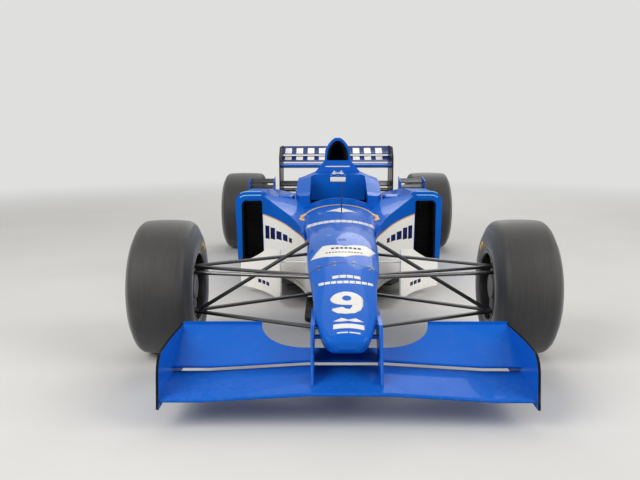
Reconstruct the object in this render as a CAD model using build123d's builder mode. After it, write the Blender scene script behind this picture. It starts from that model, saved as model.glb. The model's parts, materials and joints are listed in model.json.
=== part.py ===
from build123d import *
from math import cos, radians, sin
import os

# Open wheel racing car of the middle 1990s, in millimetres.
# The car faces -Y and stands on its tyres at Z = 0. Its left side is +X.
# Stations are distances behind the front axle, and heights are above the ground.

# Whole car
LENGTH = 4400
WHEELBASE = 2950
FRONT_OVERHANG = 950
FRONT_AXLE = FRONT_OVERHANG - LENGTH / 2

# Wheels: radius, width, distance of the middle from the car's centre line
FRONT_TYRE_RADIUS = 325
FRONT_TYRE_WIDTH = 300
FRONT_WHEEL_OFFSET = 845
REAR_TYRE_RADIUS = 330
REAR_TYRE_WIDTH = 370
REAR_WHEEL_OFFSET = 800
RIM_RADIUS = 166
BARREL_BORE = 157
SPINDLE_RADIUS = 26
HUB_GAP = 1.5
DISC_RADIUS = 130
DISC_THICKNESS = 24
DISC_FROM_UPRIGHT = 78
CALIPER_RADIUS = 151

# Steering
KINGPIN_OFFSET = 742
KINGPIN_TOP = 425
KINGPIN_BOTTOM = 202
STEERING_ARM = 90
TRACK_ROD_HEIGHT = 414
RACK_STATION = -205

# Body
TUB_WALL = 25
FLOOR_TOP = 97
FLOOR_THICKNESS = 12
REFERENCE_PLANE = 45
PLANK_THICKNESS = 10
BODY_HALF_WIDTH = 700
INLET_STATION = 1430
COCKPIT_FRONT = 1330
COCKPIT_REAR = 1985
COCKPIT_HALF_WIDTH = 195
BULKHEAD_STATION = 2080
BAY_HALF_WIDTH = 262
BAY_TOP = 528
BAY_REAR = 2730
PAD_STATION = 1840

# Wings
FRONT_WING_HALF_SPAN = 700
REAR_WING_HALF_SPAN = 503
END_PLATE = 10

os.makedirs("parts", exist_ok=True)


def at_station(station):
    """Y of a distance behind the front axle."""
    return FRONT_AXLE + station


def cross_plane(station):
    """Upright plane across the car: local x is X, local y is Z."""
    return Plane.XZ.offset(-at_station(station))


def side_plane(offset):
    """Upright plane along the car: local x is Y, local y is Z."""
    return Plane.YZ.offset(offset)


def along(point):
    """A station and height as a point of a side plane."""
    return (at_station(point[0]), point[1])


def place(x, station, z):
    """A point given by its station."""
    return Vector(x, at_station(station), z)


def save(builder, name):
    """Name a finished piece and write it out."""
    builder.part.label = name
    export_step(builder.part, f"parts/{name}.step")


def body_section(row, radius=30):
    """Trapezoid with an arched top: the section of the nose and the tub."""
    station, bottom, shoulder, crown, half_bottom, half_shoulder = row
    with BuildSketch(cross_plane(station)) as section:
        with BuildLine():
            Polyline((half_shoulder, shoulder), (half_bottom, bottom), (-half_bottom, bottom),
                     (-half_shoulder, shoulder))
            ThreePointArc((-half_shoulder, shoulder), (0, crown), (half_shoulder, shoulder))
        make_face()
        fillet(section.vertices(), radius)
    return section.sketch


def rod(start, end, half_chord, half_thickness):
    """Streamlined rod from one point to another, its chord along the car."""
    axis = (end - start).normalized()
    fore_aft = Vector(0, 1, 0)
    chord = fore_aft - axis * fore_aft.dot(axis)
    with BuildSketch(Plane(origin=start, x_dir=chord, z_dir=axis)) as section:
        if half_chord == half_thickness:
            Circle(half_chord)
        else:
            SlotOverall(2 * half_chord, 2 * half_thickness)
    extrude(section.sketch, (end - start).length)


def wing_section(plane, leading, trailing, thickness, sag, tip=3):
    """Wing profile bellied downwards between a rounded leading edge and a thin trailing edge."""
    lead = Vector(*leading)
    trail = Vector(*trailing)
    chord = (trail - lead).normalized()
    up = Vector(-chord.Y, chord.X)
    middle = lead + (trail - lead) * 0.42
    nose = thickness * 0.3
    start = lead + chord * nose
    with BuildSketch(plane) as section:
        with BuildLine():
            ThreePointArc(start + up * nose, lead, start - up * nose)
            ThreePointArc(start - up * nose, middle - up * (sag + thickness / 2), trail - up * tip)
            Line(trail - up * tip, trail)
            ThreePointArc(trail, middle - up * (sag - thickness / 2), start + up * nose)
        make_face()
    return section.sketch


# Tub: station, bottom, shoulder, crown, half width at the bottom, half width at the shoulder
TUB_ROWS = (
    (-300, 200, 452, 500, 118, 158),
    (60, 172, 500, 557, 128, 176),
    (650, 130, 496, 562, 150, 196),
    (1250, FLOOR_TOP, 500, 584, 205, 256),
    (1600, FLOOR_TOP, 580, 640, 235, 298),
    (BULKHEAD_STATION, FLOOR_TOP, 590, 650, 245, 300),
)

with BuildPart() as tub_envelope:
    loft([body_section(row) for row in TUB_ROWS])
    with Locations(place(0, 1600, FLOOR_TOP - 50)):
        Box(700, 1200, 100, mode=Mode.SUBTRACT)

with BuildPart() as monocoque:
    add(tub_envelope.part)
    inner_rows = []
    for station, bottom, shoulder, crown, half_bottom, half_shoulder in TUB_ROWS:
        inner_rows.append((station, bottom + TUB_WALL, shoulder - 8, crown - TUB_WALL,
                           half_bottom - TUB_WALL + 6, half_shoulder - TUB_WALL))
    inner_rows[0] = (TUB_ROWS[0][0] + TUB_WALL,) + inner_rows[0][1:]
    inner_rows[-1] = (BULKHEAD_STATION - TUB_WALL,) + inner_rows[-1][1:]
    loft([body_section(row, 20) for row in inner_rows], mode=Mode.SUBTRACT)
    with BuildSketch(Plane.XY.offset(480)) as opening:
        with Locations((0, at_station((COCKPIT_FRONT + COCKPIT_REAR) / 2))):
            RectangleRounded(2 * COCKPIT_HALF_WIDTH, COCKPIT_REAR - COCKPIT_FRONT, 60)
    extrude(opening.sketch, 300, mode=Mode.SUBTRACT)
    # The fuel tank's bay behind the seat stays solid
    with BuildPart() as tank:
        add(tub_envelope.part)
        with BuildSketch(side_plane(0)) as outline:
            with BuildLine():
                Polyline(along((1703, 60)), along((1703, 122)), along((1975, 545)),
                         along((COCKPIT_REAR, 700)), along((BULKHEAD_STATION, 700)),
                         along((BULKHEAD_STATION, 60)), close=True)
            make_face()
        extrude(outline.sketch, 320, both=True, mode=Mode.INTERSECT)
    add(tank.part)
    # Holes for the steering rack in both sides
    with Locations(Location(place(0, RACK_STATION, TRACK_ROD_HEIGHT), (0, 90, 0))):
        Cylinder(30, 500, mode=Mode.SUBTRACT)

# Nose cone, same columns as the tub
TIP_ROWS = (
    (-862, 286, 305, 314, 28, 52),
    (-855, 274, 311, 325, 42, 76),
    (-838, 263, 318, 338, 58, 92),
)
NOSE_ROWS = (
    TIP_ROWS[-1],
    (-800, 255, 330, 352, 70, 103),
    (-600, 232, 384, 420, 98, 134),
    TUB_ROWS[0],
)

with BuildPart() as nose_envelope:
    loft([body_section(row, 20 if row[0] < -790 else 30) for row in NOSE_ROWS])
    loft([body_section(row, radius) for row, radius in zip(TIP_ROWS, (8, 14, 20))], ruled=True)

# Front wing, in stations and heights
MAIN_LEADING = (-938, 112)
MAIN_TRAILING = (-682, 138)
FLAP_LEADING = (-706, 160)
FLAP_TRAILING = (-452, 268)
# Half span and lift of the raised middle, which runs down to the outer planes
WING_LIFTS = ((-690, 0), (-540, 0), (-155, 24), (155, 24), (540, 0), (690, 0))
PYLON_OFFSET = 131


def lifted(point, lift):
    """A station and height, raised, as a point of a side plane."""
    return (at_station(point[0]), point[1] + lift)


with BuildPart() as front_wing_main:
    loft([wing_section(side_plane(offset), lifted(MAIN_LEADING, lift), lifted(MAIN_TRAILING, lift), 26, 6)
          for offset, lift in WING_LIFTS], ruled=True)

# Nose cone with the two pylons that carry the wing
with BuildPart() as nose_cone:
    add(nose_envelope.part)
    for side in (-1, 1):
        with BuildSketch(Plane.XY.offset(152)) as foot:
            with Locations(Location((side * PYLON_OFFSET, at_station(-802)), 90)):
                SlotOverall(160, 12)
        with BuildSketch(Plane.XY.offset(352)) as head:
            with Locations(Location((side * PYLON_OFFSET, at_station(-640)), 90)):
                SlotOverall(260, 16)
        loft([foot.sketch, head.sketch])
        # Brackets between the pylon and the nose
        for station, height in ((-712, 338), (-748, 300)):
            with Locations(place(side * (PYLON_OFFSET - 20), station, height)):
                Box(36, 22, 12)
    add(front_wing_main.part, mode=Mode.SUBTRACT)

# Flaps: one plane through the pylons, its back edge cut away beside them
with BuildPart() as front_wing_flaps:
    loft([wing_section(side_plane(offset), lifted(FLAP_LEADING, lift), along(FLAP_TRAILING), 20, 12)
          for offset, lift in WING_LIFTS], ruled=True)
    # Upright strip along the back edge
    with Locations(place(0, FLAP_TRAILING[0] - 2, FLAP_TRAILING[1] + 2)):
        Box(2 * (FRONT_WING_HALF_SPAN - END_PLATE), 3, 14)
    with BuildSketch(Plane.XY) as cutaway:
        with Locations((0, at_station(-535))):
            Rectangle(280, 160)
        for side in (-1, 1):
            with Locations((side * 140, at_station(-448))):
                Ellipse(213, 167)
    extrude(cutaway.sketch, 400, mode=Mode.SUBTRACT)
    add(nose_cone.part, mode=Mode.SUBTRACT)

with BuildPart() as front_wing_endplates:
    for side in (-1, 1):
        with BuildSketch(side_plane(side * (FRONT_WING_HALF_SPAN - END_PLATE / 2))) as plate:
            with BuildLine():
                front = Line(along((-FRONT_OVERHANG, 84)), along((-932, 208)))
                corner = ThreePointArc(front @ 1, along((-908, 258)), along((-856, 279)))
                Polyline(corner @ 1, along((-747, 279)), along((-629, 275)), along((-381, 259)),
                         along((-350, 84)), front @ 0)
            make_face()
        extrude(plate.sketch, END_PLATE / 2, both=True)

# Side pods. Shoulder fairing: station, outer half width, height of its crest
FAIRING_ROWS = (
    (700, 204, 420),
    (1000, 275, 506),
    (1250, 392, 560),
    (INLET_STATION, 520, 628),
)
# Pod: station, half width, top, half width of the ridge where the top turns down, height beside the
# tub, radius of the outer top corner
POD_ROWS = (
    (INLET_STATION, 700, 643, 500, 528, 72),
    (1950, 700, 618, 490, 520, 72),
    (2350, 580, 556, 400, 505, 60),
    (2700, 320, 480, 260, 460, 42),
)


def pod_section(row):
    """Half of a pod's section: rounded outside, its top hollowed towards the middle of the car."""
    station, half_width, top, ridge, valley, radius = row
    with BuildSketch(cross_plane(station)) as section:
        with BuildLine():
            Polyline((220, valley), (150, valley), (150, FLOOR_TOP), (half_width - 12, FLOOR_TOP),
                     (half_width, top), (ridge, top))
            ThreePointArc((ridge, top), ((ridge + 220) / 2 + 20, valley + (top - valley) * 0.2),
                          (220, valley))
        make_face()
        fillet(section.vertices().sort_by_distance((half_width, top))[0], radius)
        fillet(section.vertices().sort_by_distance((half_width - 12, FLOOR_TOP))[0], 20)
    return section.sketch


def fairing_section(station, half_width, crest):
    """Half of the fairing's section: flared flank, top falling inwards."""
    with BuildSketch(cross_plane(station)) as section:
        with BuildLine():
            Polyline((120, FLOOR_TOP), (half_width - 10, FLOOR_TOP), (half_width, crest),
                     (120, crest - 60), close=True)
        make_face()
    return section.sketch


INLET_INNER = 520
INLET_OUTER = 646
INLET_TOP = 580
INLET_BOTTOM = FLOOR_TOP + 18
RADIATOR_STATION = 1840

with BuildPart() as pod_envelope:
    loft([pod_section(row) for row in POD_ROWS[:2]])
    loft([pod_section(row) for row in POD_ROWS[1:]])
    loft([fairing_section(*row) for row in FAIRING_ROWS])
    mirror(about=Plane.YZ)

with BuildPart() as radiators:
    for side in (-1, 1):
        with Locations(place(side * 500, RADIATOR_STATION - 22, (INLET_TOP + INLET_BOTTOM) / 2 - 14)):
            Box(344, 36, 446)

with BuildPart() as sidepods:
    add(pod_envelope.part)
    for side in (-1, 1):
        middle = (side * (INLET_INNER + INLET_OUTER) / 2, (INLET_TOP + INLET_BOTTOM) / 2)
        with BuildSketch(cross_plane(INLET_STATION)) as mouth:
            with Locations(middle):
                RectangleRounded(INLET_OUTER - INLET_INNER, INLET_TOP - INLET_BOTTOM, 34)
        # Stepped lip round the mouth
        with BuildSketch(cross_plane(INLET_STATION)) as lip:
            with Locations(middle):
                RectangleRounded(INLET_OUTER - INLET_INNER + 24, INLET_TOP - INLET_BOTTOM + 24, 44)
        extrude(lip.sketch, -7, mode=Mode.SUBTRACT)
        with BuildSketch(cross_plane(RADIATOR_STATION)) as throat:
            with Locations((side * 500, (INLET_TOP + INLET_BOTTOM) / 2 - 14)):
                RectangleRounded(330, INLET_TOP - INLET_BOTTOM - 30, 24)
        loft([mouth.sketch, throat.sketch], mode=Mode.SUBTRACT)
    add(tub_envelope.part, mode=Mode.SUBTRACT)
    with Locations(place(0, (BULKHEAD_STATION + BAY_REAR) / 2, (FLOOR_TOP + BAY_TOP) / 2)):
        Box(2 * BAY_HALF_WIDTH, BAY_REAR - BULKHEAD_STATION, BAY_TOP - FLOOR_TOP, mode=Mode.SUBTRACT)
    # Keep clear of the bay's mouth behind the block
    with Locations(place(0, BAY_REAR - 100, 300)):
        Box(2 * BAY_HALF_WIDTH, 400, 2 * BAY_TOP, mode=Mode.SUBTRACT)
    add(radiators.part, mode=Mode.SUBTRACT)
    # The lower front corners are cut away over the floor
    for side in (-1, 1):
        with BuildSketch(side_plane(side * 500)) as undercut:
            with BuildLine():
                Polyline(along((1400, 60)), along((1400, 190)), along((INLET_STATION, 190)),
                         along((1640, 60)), close=True)
            make_face()
        extrude(undercut.sketch, side * 250, mode=Mode.SUBTRACT)

# Engine cover: station, half width and height at the base, at the shoulder, at the neck under the
# airbox and at the foot of its arch, height of the crown
COVER_ROWS = (
    (1990, 302, 600, 288, 726, 168, 738, 98, 820, 993),
    (2420, 294, 540, 232, 668, 132, 690, 80, 776, 932),
    (2800, 240, 470, 166, 566, 98, 590, 54, 664, 792),
    (3180, 130, 420, 92, 470, 60, 480, 32, 530, 612),
)


def arch(half_width, foot, crown):
    """Pointed arch, drawn from its left foot over the crown to its right foot."""
    lean = (half_width * 0.7, foot + (crown - foot) * 0.51)
    ThreePointArc((half_width, foot), lean, (0, crown))
    ThreePointArc((0, crown), (-lean[0], lean[1]), (-half_width, foot))


def cover_section(row):
    """Engine cover's section: base, shoulder, neck and the arch of the airbox."""
    station, half_base, base, half_shoulder, shoulder, half_neck, neck, half_foot, foot, crown = row
    with BuildSketch(cross_plane(station)) as section:
        with BuildLine():
            Polyline((-half_foot, foot), (-half_neck, neck), (-half_shoulder, shoulder),
                     (-half_base, base), (half_base, base), (half_shoulder, shoulder),
                     (half_neck, neck), (half_foot, foot))
            arch(half_foot, foot, crown)
        make_face()
        fillet(section.vertices().filter_by(lambda v: v.Y > base + 1), 16)
    return section.sketch


with BuildPart() as cover_envelope:
    loft([cover_section(row) for row in COVER_ROWS])

with BuildPart() as engine_cover:
    add(cover_envelope.part)
    add(tub_envelope.part, mode=Mode.SUBTRACT)
    add(pod_envelope.part, mode=Mode.SUBTRACT)
    with Locations(place(0, 2500, 300)):
        Box(2 * BAY_HALF_WIDTH, 1400, 2 * BAY_TOP - 600, mode=Mode.SUBTRACT)
    # Airbox mouth
    with BuildSketch(cross_plane(1990)) as mouth:
        with BuildLine():
            Line((-83, 824), (83, 824))
            arch(83, 824, 972)
        make_face()
        fillet(mouth.vertices(), 10)
    with BuildSketch(cross_plane(2330)) as throat:
        with BuildLine():
            Line((-52, 760), (52, 760))
            arch(52, 760, 868)
        make_face()
        fillet(throat.vertices(), 10)
    loft([mouth.sketch, throat.sketch], mode=Mode.SUBTRACT)

# Head surround: a padded collar on the tub's sides, rising rearwards
with BuildPart() as head_surround:
    with BuildSketch(Plane.XY.offset(560)) as collar:
        with BuildLine():
            Polyline((292, at_station(1990)), (292, at_station(1500)), (262, at_station(COCKPIT_FRONT + 60)),
                     (COCKPIT_HALF_WIDTH, at_station(COCKPIT_FRONT + 60)),
                     (COCKPIT_HALF_WIDTH, at_station(PAD_STATION)),
                     (-COCKPIT_HALF_WIDTH, at_station(PAD_STATION)),
                     (-COCKPIT_HALF_WIDTH, at_station(COCKPIT_FRONT + 60)),
                     (-262, at_station(COCKPIT_FRONT + 60)), (-292, at_station(1500)),
                     (-292, at_station(1990)), close=True)
        make_face()
        fillet(collar.vertices().filter_by(lambda v: v.Y > at_station(PAD_STATION) - 1
                                           and abs(v.X) < COCKPIT_HALF_WIDTH + 1), 40)
    extrude(collar.sketch, 200)
    with BuildSketch(side_plane(0)) as top:
        with BuildLine():
            Polyline(along((COCKPIT_FRONT, 618)), along((1500, 640)), along((1800, 728)),
                     along((2000, 736)), along((2000, 800)), along((COCKPIT_FRONT, 800)), close=True)
        make_face()
    extrude(top.sketch, 320, both=True, mode=Mode.SUBTRACT)
    add(tub_envelope.part, mode=Mode.SUBTRACT)
    add(pod_envelope.part, mode=Mode.SUBTRACT)
    # Pad behind the driver's head, let down into the mouth of the cockpit
    with Locations(place(0, (PAD_STATION + COCKPIT_REAR) / 2, 622)):
        Box(2 * COCKPIT_HALF_WIDTH, COCKPIT_REAR - PAD_STATION, 156)
    add(monocoque.part, mode=Mode.SUBTRACT)
    add(cover_envelope.part, mode=Mode.SUBTRACT)

# Low arched rim in front of the cockpit
with BuildPart() as cockpit_coaming:
    with BuildSketch(Plane.XY.offset(480)) as rim:
        with BuildLine():
            ThreePointArc((-262, at_station(1385)), (0, at_station(1235)), (262, at_station(1385)))
            Line((262, at_station(1385)), (244, at_station(1385)))
            ThreePointArc((244, at_station(1385)), (0, at_station(1252)), (-244, at_station(1385)))
            Line((-244, at_station(1385)), (-262, at_station(1385)))
        make_face()
    extrude(rim.sketch, 160)
    with BuildSketch(cross_plane(1200)) as under_arch:
        with BuildLine():
            Polyline((-280, 512), (-280, 470), (280, 470), (280, 512))
            ThreePointArc((280, 512), (0, 623), (-280, 512))
        make_face()
    extrude(under_arch.sketch, -250, mode=Mode.INTERSECT)
    add(tub_envelope.part, mode=Mode.SUBTRACT)
    add(pod_envelope.part, mode=Mode.SUBTRACT)
    add(head_surround.part, mode=Mode.SUBTRACT)

# Floor: a raised floor under the pods and a lower keel, with the splitter ahead
with BuildPart() as floor:
    with BuildSketch(Plane.XY.offset(FLOOR_TOP - FLOOR_THICKNESS)) as step:
        with BuildLine():
            Polyline((0, at_station(1050)), (330, at_station(1050)), (500, at_station(1430)),
                     (BODY_HALF_WIDTH, at_station(1640)), (BODY_HALF_WIDTH, at_station(2230)),
                     (560, at_station(2560)), (490, at_station(2620)), (490, at_station(2640)),
                     (0, at_station(2640)), close=True)
        make_face()
        mirror(about=Plane.YZ)
    extrude(step.sketch, FLOOR_THICKNESS)
    with BuildSketch(Plane.XY.offset(REFERENCE_PLANE)) as keel:
        with Locations((0, at_station((330 + 2640) / 2))):
            RectangleRounded(400, 2640 - 330, 60)
    extrude(keel.sketch, 24)
    with Locations(place(0, (1000 + 2640) / 2, (REFERENCE_PLANE + FLOOR_TOP) / 2)):
        Box(380, 2640 - 1000, FLOOR_TOP - REFERENCE_PLANE)

with BuildPart() as skid_plank:
    with BuildSketch(Plane.XY.offset(REFERENCE_PLANE)) as plank:
        with Locations((0, at_station((360 + 2600) / 2))):
            RectangleRounded(300, 2600 - 360, 60)
    extrude(plank.sketch, -PLANK_THICKNESS)

DIFFUSER_END = 3250
DIFFUSER_HALF_WIDTH = 490

with BuildPart() as diffuser:
    with BuildSketch(side_plane(-DIFFUSER_HALF_WIDTH)) as ramp:
        with BuildLine():
            Polyline(along((2640, FLOOR_TOP)), along((2640, FLOOR_TOP - 10)), along((2800, FLOOR_TOP + 12)),
                     along((DIFFUSER_END, 236)), along((DIFFUSER_END, 246)), along((2800, FLOOR_TOP + 24)),
                     close=True)
        make_face()
    extrude(ramp.sketch, 2 * DIFFUSER_HALF_WIDTH)
    for offset in (-DIFFUSER_HALF_WIDTH + 4, -320, -150, 150, 320, DIFFUSER_HALF_WIDTH - 4):
        with BuildSketch(side_plane(offset)) as strake:
            with BuildLine():
                Polyline(along((2660, FLOOR_TOP - 6)), along((2700, 60)), along((3180, 74)),
                         along((DIFFUSER_END, 130)), along((DIFFUSER_END, 240)),
                         along((2800, FLOOR_TOP + 18)), close=True)
            make_face()
        extrude(strake.sketch, 3, both=True)
    add(pod_envelope.part, mode=Mode.SUBTRACT)

# The engine as one plain block, with the tail pipe of each bank
with BuildPart() as engine_block:
    with Locations(place(0, (BULKHEAD_STATION + 2700) / 2, (130 + BAY_TOP - 10) / 2)):
        Box(2 * BAY_HALF_WIDTH - 60, 2700 - BULKHEAD_STATION, BAY_TOP - 10 - 130)
    for side in (-1, 1):
        with BuildSketch(cross_plane(2690)) as pipe:
            with Locations((side * 195, 300)):
                Circle(34)
        extrude(pipe.sketch, -220)
        with BuildSketch(cross_plane(2910)) as bore:
            with Locations((side * 195, 300)):
                Circle(30)
        extrude(bore.sketch, 190, mode=Mode.SUBTRACT)

with BuildPart() as gearbox:
    with BuildSketch(cross_plane(2700)) as front:
        with Locations((0, 300)):
            RectangleRounded(300, 340, 50)
    with BuildSketch(cross_plane(3010)) as middle:
        with Locations((0, 300)):
            RectangleRounded(210, 300, 50)
    with BuildSketch(cross_plane(3330)) as rear:
        with Locations((0, 310)):
            RectangleRounded(110, 150, 30)
    loft([front.sketch, middle.sketch, rear.sketch], ruled=True)
    add(diffuser.part, mode=Mode.SUBTRACT)

with BuildPart() as rain_light:
    with BuildSketch(cross_plane(3330)) as lamp:
        with Locations((0, 315)):
            RectangleRounded(84, 84, 14)
    extrude(lamp.sketch, -34)

# Rear wing. Elements of the upper wing: leading edge, trailing edge, thickness, sag
UPPER_WING = (
    ((2985, 718), (3222, 730), 34, 12),
    ((3212, 745), (3330, 790), 16, 8),
    ((3318, 806), (3440, 876), 14, 8),
)
LOWER_WING = (
    ((2960, 500), (3120, 512), 22, 6),
    ((3110, 528), (3240, 566), 16, 8),
)
WING_SPAN = REAR_WING_HALF_SPAN - END_PLATE

with BuildPart() as rear_wing_planes:
    for leading, trailing, thickness, sag in UPPER_WING:
        extrude(wing_section(side_plane(-WING_SPAN), along(leading), along(trailing), thickness, sag),
                2 * WING_SPAN)

with BuildPart() as lower_rear_wing:
    for leading, trailing, thickness, sag in LOWER_WING:
        extrude(wing_section(side_plane(-WING_SPAN), along(leading), along(trailing), thickness, sag),
                2 * WING_SPAN)
    # Mast between the gearbox and the lower wing
    with BuildSketch(Plane.XY.offset(380)) as mast:
        with Locations((0, at_station(3090))):
            Rectangle(24, 220)
    extrude(mast.sketch, 180)
    add(gearbox.part, mode=Mode.SUBTRACT)
    add(cover_envelope.part, mode=Mode.SUBTRACT)

with BuildPart() as rear_wing_endplates:
    for side in (-1, 1):
        with BuildSketch(side_plane(side * (REAR_WING_HALF_SPAN - END_PLATE / 2))) as plate:
            with BuildLine():
                Polyline(along((2950, 470)), along((2950, 800)), along((3060, 882)), along((3450, 882)),
                         along((3450, 470)), along((3250, 300)), along((3250, 200)), along((3120, 200)),
                         along((3060, 400)), close=True)
            make_face()
            fillet(plate.vertices().group_by(Axis.Y)[-1], 14)
        extrude(plate.sketch, END_PLATE / 2, both=True)

# Winglets ahead of the rear wheels: three slats between two plates a side
with BuildPart() as winglets:
    for side in (-1, 1):
        for offset in (505, 697):
            with BuildSketch(side_plane(side * offset)) as plate:
                with BuildLine():
                    Polyline(along((2270, 540)), along((2300, 640)), along((2490, 664)),
                             along((2500, 540)), close=True)
                make_face()
            extrude(plate.sketch, 3, both=True)
        for leading, trailing in (((2330, 566), (2412, 576)), ((2360, 582), (2446, 600)),
                                  ((2405, 618), (2488, 648))):
            start = side_plane(505 if side > 0 else -697)
            extrude(wing_section(start, along(leading), along(trailing), 12, 5), 192)
    add(pod_envelope.part, mode=Mode.SUBTRACT)

# Bargeboards: curved upright plates ahead of the side pods
with BuildPart() as bargeboards:
    for side in (-1, 1):
        with BuildSketch(Plane.XY.offset(50)) as board:
            with BuildLine():
                inner = ThreePointArc((side * 345, at_station(700)), (side * 438, at_station(985)),
                                      (side * 640, at_station(1215)))
                outer = ThreePointArc((side * 353, at_station(698)), (side * 445, at_station(981)),
                                      (side * 645, at_station(1208)))
                Line(inner @ 0, outer @ 0)
                Line(inner @ 1, outer @ 1)
            make_face()
        extrude(board.sketch, 330)
        with BuildSketch(side_plane(0)) as trim:
            with BuildLine():
                Polyline(along((690, 140)), along((760, 50)), along((690, 50)), close=True)
            make_face()
        extrude(trim.sketch, 700, both=True, mode=Mode.SUBTRACT)
        with BuildSketch(side_plane(0)) as trim_top:
            with BuildLine():
                Polyline(along((690, 378)), along((1000, 330)), along((1230, 190)), along((1230, 390)),
                         along((690, 390)), close=True)
            make_face()
        extrude(trim_top.sketch, 700, both=True, mode=Mode.SUBTRACT)
        rod(place(side * 358, 730, 300), place(side * 180, 730, 300), 14, 4)
    add(tub_envelope.part, mode=Mode.SUBTRACT)
    add(pod_envelope.part, mode=Mode.SUBTRACT)

with BuildPart() as mirrors:
    for side in (-1, 1):
        with BuildSketch(cross_plane(1500)) as glass:
            with Locations((side * 357, 592)):
                RectangleRounded(116, 58, 20)
        with BuildSketch(cross_plane(1440)) as cap:
            with Locations((side * 357, 592)):
                RectangleRounded(84, 38, 16)
        loft([glass.sketch, cap.sketch])
        rod(place(side * 330, 1480, 584), place(side * 272, 1485, 540), 12, 5)
    add(tub_envelope.part, mode=Mode.SUBTRACT)
    add(pod_envelope.part, mode=Mode.SUBTRACT)
    add(head_surround.part, mode=Mode.SUBTRACT)
    add(cockpit_coaming.part, mode=Mode.SUBTRACT)

with BuildPart() as antenna:
    with BuildSketch(Plane.XY.offset(530)) as foot:
        with Locations((10, at_station(950))):
            Circle(12)
    extrude(foot.sketch, 26)
    with BuildSketch(Plane.XY.offset(556)) as mast:
        with Locations((10, at_station(950))):
            Circle(3.5)
    extrude(mast.sketch, 194)
    add(tub_envelope.part, mode=Mode.SUBTRACT)

# Cockpit interior
with BuildPart() as driver_seat:
    with BuildSketch(side_plane(-165)) as shell:
        with BuildLine():
            Polyline(along((1300, 120)), along((1704, 120)), along((1960, 520)), along((1944, 530)),
                     along((1690, 152)), along((1300, 166)), close=True)
        make_face()
    extrude(shell.sketch, 330)
    for side in (-1, 1):
        with BuildSketch(side_plane(side * 161)) as cheek:
            with BuildLine():
                Polyline(along((1420, 146)), along((1700, 136)), along((1956, 516)), along((1880, 540)),
                         along((1650, 300)), along((1440, 220)), close=True)
            make_face()
        extrude(cheek.sketch, 4, both=True)
    add(monocoque.part, mode=Mode.SUBTRACT)

COLUMN_TILT = 18
WHEEL_STATION = 1470
WHEEL_HEIGHT = 462
column_axis = Vector(0, cos(radians(COLUMN_TILT)), sin(radians(COLUMN_TILT)))
column_plane = Plane(origin=place(0, WHEEL_STATION, WHEEL_HEIGHT), x_dir=(1, 0, 0), z_dir=column_axis)

with BuildPart() as dashboard:
    with BuildSketch(cross_plane(1300)) as panel:
        with BuildLine():
            Polyline((-150, 380), (150, 380), (240, 500))
            ThreePointArc((240, 500), (0, 580), (-240, 500))
            Line((-240, 500), (-150, 380))
        make_face()
    extrude(panel.sketch, -14)
    with BuildSketch(column_plane.offset(-190)) as column:
        Circle(16)
    extrude(column.sketch, 150)
    add(monocoque.part, mode=Mode.SUBTRACT)

with BuildPart() as steering_wheel:
    with BuildSketch(column_plane) as hub:
        Circle(42)
    extrude(hub.sketch, 26, both=False)
    with BuildSketch(column_plane.offset(8)) as spokes:
        Rectangle(236, 44)
    extrude(spokes.sketch, 10)
    with BuildSketch(Plane(origin=column_plane.origin + column_axis * 13 + Vector(116, 0, 0),
                           x_dir=(1, 0, 0), z_dir=column_axis.cross(Vector(1, 0, 0)))) as grip:
        Circle(13)
    revolve(grip.sketch, Axis(column_plane.origin, column_axis))
    with BuildSketch(column_plane.offset(-36)) as boss:
        Circle(14)
    extrude(boss.sketch, 36)

# Front suspension
FRONT_ARMS = (
    # outboard and two inboard ends
    (KINGPIN_TOP, (180, -150, 412), (193, 300, 430)),
    (KINGPIN_BOTTOM, (150, -250, 190), (180, 300, 215)),
)
EYE_RADIUS = 18
PIN_RADIUS = 8
PIN_GAP = 1.5

with BuildPart() as front_suspension_arms:
    for side in (-1, 1):
        for height, *inboard in FRONT_ARMS:
            outboard = place(side * KINGPIN_OFFSET, 0, height)
            for x, station, z in inboard:
                rod(outboard, place(side * (x - 30), station, z), 15, 7)
            with Locations(outboard):
                Cylinder(EYE_RADIUS, 20)
        rod(place(side * 700, 0, KINGPIN_BOTTOM + 8), place(side * 165, 40, 535), 12, 9)
        for height, *inboard in FRONT_ARMS:
            with Locations(place(side * KINGPIN_OFFSET, 0, height)):
                Cylinder(PIN_RADIUS + PIN_GAP, 60, mode=Mode.SUBTRACT)
    add(tub_envelope.part, mode=Mode.SUBTRACT)

with BuildPart() as steering_rack:
    with BuildSketch(Plane(origin=place(-130, RACK_STATION, TRACK_ROD_HEIGHT), z_dir=(1, 0, 0))) as rack:
        Circle(12)
    extrude(rack.sketch, 260)
    for side in (-1, 1):
        eye = place(side * KINGPIN_OFFSET, -STEERING_ARM, TRACK_ROD_HEIGHT)
        rod(place(side * 124, RACK_STATION, TRACK_ROD_HEIGHT), eye, 9, 9)
        with Locations(eye):
            Cylinder(EYE_RADIUS, 14)
            Cylinder(11.5, 40, mode=Mode.SUBTRACT)

# Rear suspension
REAR_HUB_OFFSET = 660
REAR_ARMS = (
    (440, (150, 2720, 400), (100, 3080, 400)),
    (205, (150, 2720, 190), (105, 3100, 215)),
)

with BuildPart() as rear_suspension_arms:
    for side in (-1, 1):
        for height, *inboard in REAR_ARMS:
            outboard = place(side * (REAR_HUB_OFFSET - 10), WHEELBASE, height)
            for x, station, z in inboard:
                rod(outboard, place(side * (x - 40), station, z), 15, 8)
            with Locations(outboard):
                Cylinder(EYE_RADIUS, 22)
        rod(place(side * 640, WHEELBASE, 216), place(side * 105, WHEELBASE - 60, 445), 12, 9)
    add(gearbox.part, mode=Mode.SUBTRACT)
    add(engine_cover.part, mode=Mode.SUBTRACT)

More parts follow.
